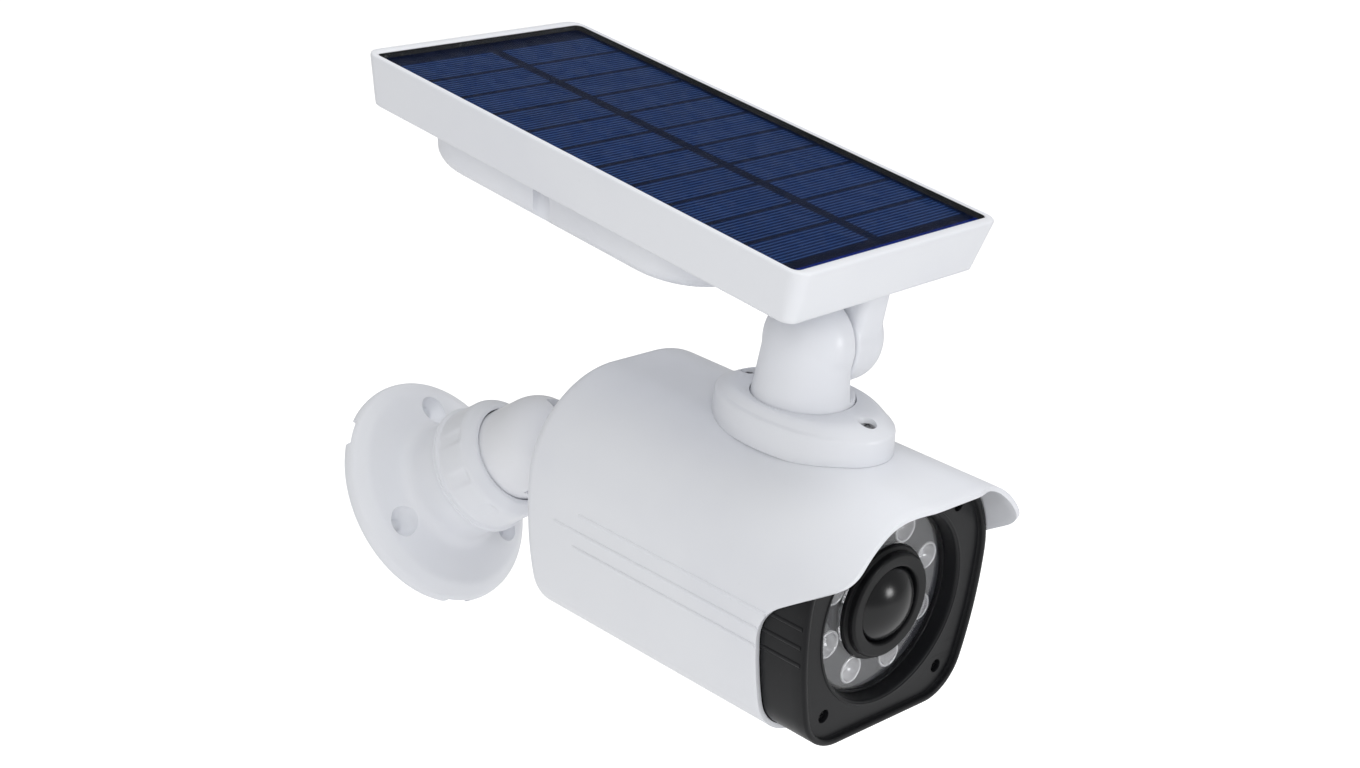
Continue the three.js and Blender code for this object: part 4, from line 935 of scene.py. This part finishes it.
# ------------------------------------------------------------------ panel head
def tray():
    """Rounded rectangles stacked from the well's floor up its wall, over the soft brim and
    down a drafted side to the underside."""
    t = TRAY
    x0, x1 = t["side"] - t["w"] / 2, t["side"] + t["w"] / 2
    y0, y1 = t["back"] - t["l"] / 2, t["back"] + t["l"] / 2
    brim, base = RISE + 0.8, RISE - t["depth"]

    def ring(inset, z, r, end=0.0):
        return level(round_rect(x0 + inset, x1 - inset, y0 + inset + end, y1 - inset - end, r), z)

    rows = [ring(2.2, RISE - 5.2, 2.5, 2.0), ring(2.2, brim - 0.5, 2.5, 2.0),
            ring(2.0, brim - 0.15, 2.7, 2.0), ring(1.7, brim, 3.0, 1.9), ring(0.9, brim, 5.0, 0.1),
            ring(0.45, brim - 0.15, 5.6), ring(0.15, brim - 0.5, 5.9), ring(0.08, brim - 1.2, 6.0)]
    rows += [ring(0.08 + 3.0 * s, brim - 1.2 - (t["depth"] - 2.0) * s, 6.0 - 1.4 * s)
             for s in np.linspace(0, 1, 8)[1:]]
    rows += [ring(3.3, base + 0.5, 4.6), ring(3.8, base + 0.12, 4.4), ring(4.6, base, 4.0)]
    body = stacked("tray_body", rows, PANEL)
    finish_piece(body, WHITE, "panel_head", "panel_tray", angle=50)
    gx0, gx1, gy0, gy1 = x0 + 2.5, x1 - 2.5, y0 + 4.5, y1 - 4.5

    def sheet(name, low, high, soft):
        flats = [level(round_rect(gx0 + e, gx1 - e, gy0 + e, gy1 - e, 2.2), z)
                 for e, z in ((soft, low), (0, low + soft), (0, high - soft), (soft, high))]
        return stacked(name, flats, PANEL)

    lining = [level(round_rect(x0 + e, x1 - e, y0 + e + 2.0, y1 - e - 2.0, 2.5), z)
              for e, z in ((2.23, RISE - 3.2), (2.23, brim - 0.5), (2.47, brim - 0.5), (2.47, RISE - 3.2))]
    finish_piece(skin("glass_sealant", np.stack(lining), PANEL, wrap=True), RUBBER, "panel_head")
    finish_piece(sheet("glass_sheet", RISE - 1.6, RISE, 0.15), GLASS, "panel_head",
                 "panel_glass")
    finish_piece(sheet("cell_sheet", RISE - 3.5, RISE - 1.9, 0.05), CELLS, "panel_head",
                 "solar_cells")


def battery_cover():
    """Rounded rectangles stacked down from the tray, their inset growing as an ellipse
    quarter into a rounded floor, with a half-round screw pocket in each long side."""
    c, t = COVER, TRAY
    top = RISE - t["depth"] - 0.25
    bottom = RISE - t["depth"] - c["depth"]

    def ring(inset, z):
        return level(round_rect(t["side"] - c["half"] + inset, t["side"] + c["half"] - inset,
                                t["back"] + c["front"] + inset, t["back"] + c["rear"] - inset,
                                30 - inset, 14), z)

    side = [ring(2.6 * s, top - 11.0 * s) for s in np.linspace(0, 1, 5)]
    q = np.linspace(0, np.pi / 2, 12)[1:]
    floor = [ring(2.6 + 8.4 * (1 - np.cos(k)), top - 11.0 - (top - 11.0 - bottom) * np.sin(k)) for k in q]
    body = stacked("cover_body", side + floor, PANEL)
    middle = t["back"] + (c["front"] + c["rear"]) / 2
    cuts = [plug(f"pocket_{i}", 4.3, bottom - 6, top - 3, PANEL,
                 centre=(t["side"] + s * (c["half"] - 2.8), middle), sides=56)
            for i, s in enumerate((-1, 1))]
    carve(body, *cuts)
    finish_piece(body, WHITE, "panel_head", "battery_cover", edge=0.35, angle=45)
    for name, s in (("left", -1), ("right", 1)):
        cross_screw(f"cover_head_{name}", (t["side"] + s * (c["half"] - 3), middle, top - 3.2), "z", -1,
                    2.3, 1.6, PANEL, "panel_head", f"cover_screw_{name}")


def knuckle():
    """Disc and web melted into a root that spreads into the tray, less the screw's seat."""
    base = RISE - TRAY["depth"]
    disc = turned("knuckle_disc", soften([
        (0, 5.1), (16.6, 5.1, 0.5), (17.0, 5.7, 0.6), (17.0, 19.2, 3.0), (13.8, 23.3, 2.4), (0, 23.3)]),
        PANEL, "x", sides=96)
    stages = ((5.1, 20.2, 15.6, 3.6, 0), (5.1, 20.2, 15.6, 3.6, base - 3.4),
              (4.8, 20.8, 16.6, 3.8, base - 1.2), (4.6, 22, 18.4, 4.0, base))
    web = stacked("web", [level(round_rect(x0, x1, -y, y, r), z) for x0, x1, y, r, z in stages], PANEL)
    combine(disc, "UNION", [web])
    melt(disc, 0.6, 8)
    seat_cut = turned("screw_seat", [(0, 19.6), (5.3, 19.6), (5.4, 30), (0, 30)], PANEL, "x", sides=56)
    bore = plug("screw_bore", 2.7, 0, 28, PANEL, "x", sides=40)
    carve(disc, seat_cut, bore)
    finish_piece(disc, WHITE, "panel_head", "hinge_knuckle", edge=0.3, angle=45)
    cross_screw("hinge_head", (0, 0, 20.4), "x", 1, 5.0, 2.5, PANEL, "panel_head", "hinge_screw")


def button():
    """Rubber cap: one profile round its upright axis, with a shallow dish in its end."""
    z = -BELLY
    profile = soften([(0, z - 0.7), (3.0, z - 0.9, 1.0), (4.3, z - 1.4, 0.5), (5.0, z - 1.2, 0.5),
                      (5.0, z + 2.1), (6.6, z + 2.1, 0.2), (6.6, z + 3.3), (0, z + 3.3)])
    finish_piece(turned("button_cap", profile, BODY, centre=BUTTON_SPOT, sides=72), RUBBER, "button",
                 "power_button")


wall_flange()
locking_ring()
swivel_head()
stem()
housing()
finish_piece(ridges("housing_ridges", (-29, -16, -26), 0.75, 0.0, lambda z: hood_edge(z) + 0.4, BODY),
             WHITE, "camera")
bezel()
lens_group()
for label, sx, z in (("lower_left", -1, -32), ("upper_left", -1, 30), ("lower_right", 1, -32),
                     ("upper_right", 1, 30)):
    cross_screw(f"bezel_head_{label}", (sx * BEZEL_SCREW_X, z, FACE + 2.5), "y", -1, 2.05, 1.4, BODY,
                "camera", f"bezel_screw_{label}", material=BARREL_BLACK)
collar()
neck()
tray()
battery_cover()
knuckle()
button()

# Finishes of the CAD nodes that are shown as they are.
node_finishes = {
    "friction_washer": STEEL, "tilt_pin": STEEL, "infrared_sensor": STEEL, "stem_nut": BRASS,
    "hinge_insert": BRASS, "stem_seal": RUBBER, "bezel_seal": RUBBER, "hinge_washer": RUBBER,
    "lamp_board": BOARD, "sensor_board": BOARD, "main_board": BOARD, "charge_board": BOARD,
    "button_switch": BLACK, "neck_nut": BLACK,
    "battery_cell_left": SLEEVE, "battery_cell_right": SLEEVE,
}
for node, material in node_finishes.items():
    for holder in frame["nodes"][node].material_slots:
        holder.material = material

# ------------------------------------------------------------------ floor, light, camera
lens_centre = Vector(to_frame(BODY, (0, FACE, 0)))


def floor_material():
    """White matt floor, faintly mottled, that gives a little light, and more to the camera."""
    made, b, shader = principled("pale_floor")
    place = b.node("TexCoord").outputs["Object"]
    tone = b.blend(b.noise(place, 3.0, 3.0), (0.90, 0.90, 0.905, 1), (0.93, 0.93, 0.93, 1))
    b.wire(tone, shader.inputs["Base Color"])
    shader.inputs["Roughness"].default_value = 0.9
    shader.inputs["Specular IOR Level"].default_value = 0.0
    shader.inputs["Emission Color"].default_value = (1.0, 1.0, 1.0, 1)
    rays = b.node("LightPath")
    glow = b.math("ADD", 0.12, b.math("MULTIPLY", rays.outputs["Is Camera Ray"], 0.52))
    b.wire(glow, shader.inputs["Emission Strength"])
    return made


def studio():
    """Floor under the object, an even sky that is brighter to the camera, three soft panels
    of light and the camera."""
    drop = float(cad_box[0][2]) - 0.16
    corners = np.array([[-6, -6, drop], [6, -6, drop], [6, 6, drop], [-6, 6, drop]], float)
    mesh = bpy.data.meshes.new("floor")
    mesh.from_pydata(corners.tolist(), [], [(0, 1, 2, 3)])
    mesh.materials.append(floor_material())
    floor = bpy.data.objects.new("floor", mesh)
    bpy.context.scene.collection.objects.link(floor)
    world = bpy.data.worlds.new("studio_sky")
    world.use_nodes = True
    sky = world.node_tree.nodes["Background"]
    sky.inputs["Color"].default_value = (1, 1, 1, 1)
    air = Bench(world.node_tree)
    seen = air.node("LightPath").outputs["Is Camera Ray"]
    air.wire(air.math("ADD", 0.44, air.math("MULTIPLY", seen, 0.56)), sky.inputs["Strength"])
    bpy.context.scene.world = world
    for name, spot, size, power in (("top", (0.05, 0.12, 1.3), 0.8, 6.8),
                                    ("key", (-1.0, -0.75, 0.75), 0.6, 6.4),
                                    ("side", (0.46, -1.38, 0.32), 0.36, 4.4)):
        lamp = bpy.data.lights.new(name, "AREA")
        lamp.shape = "RECTANGLE"
        lamp.size, lamp.size_y = size, size * 0.8
        lamp.energy = power
        holder = bpy.data.objects.new(name, lamp)
        holder.location = lens_centre + Vector(spot)
        holder.visible_glossy = name == "side"
        holder.rotation_euler = (-Vector(spot) + Vector((0, 0.08, 0.03))).to_track_quat("-Z", "Y").to_euler()
        bpy.context.scene.collection.objects.link(holder)
    view = bpy.data.cameras.new("camera_view")
    view.sensor_fit = "HORIZONTAL"
    view.sensor_width = 36.0
    view.lens = 59.08
    view.clip_start = 0.01
    eye = bpy.data.objects.new("camera_view", view)
    right = Vector((0.7066, -0.7020, 0.0889)).normalized()
    ahead = Vector((0.6787, 0.6367, -0.3660)).normalized()
    up = right.cross(ahead).normalized()
    right = ahead.cross(up)
    turn = Matrix((right, up, -ahead)).transposed().to_4x4()
    eye.matrix_world = Matrix.Translation(lens_centre + Vector((-0.5423, -0.4019, 0.3361))) @ turn
    bpy.context.scene.collection.objects.link(eye)
    bpy.context.scene.camera = eye


studio()
bpy.context.scene.view_settings.view_transform = "Standard"
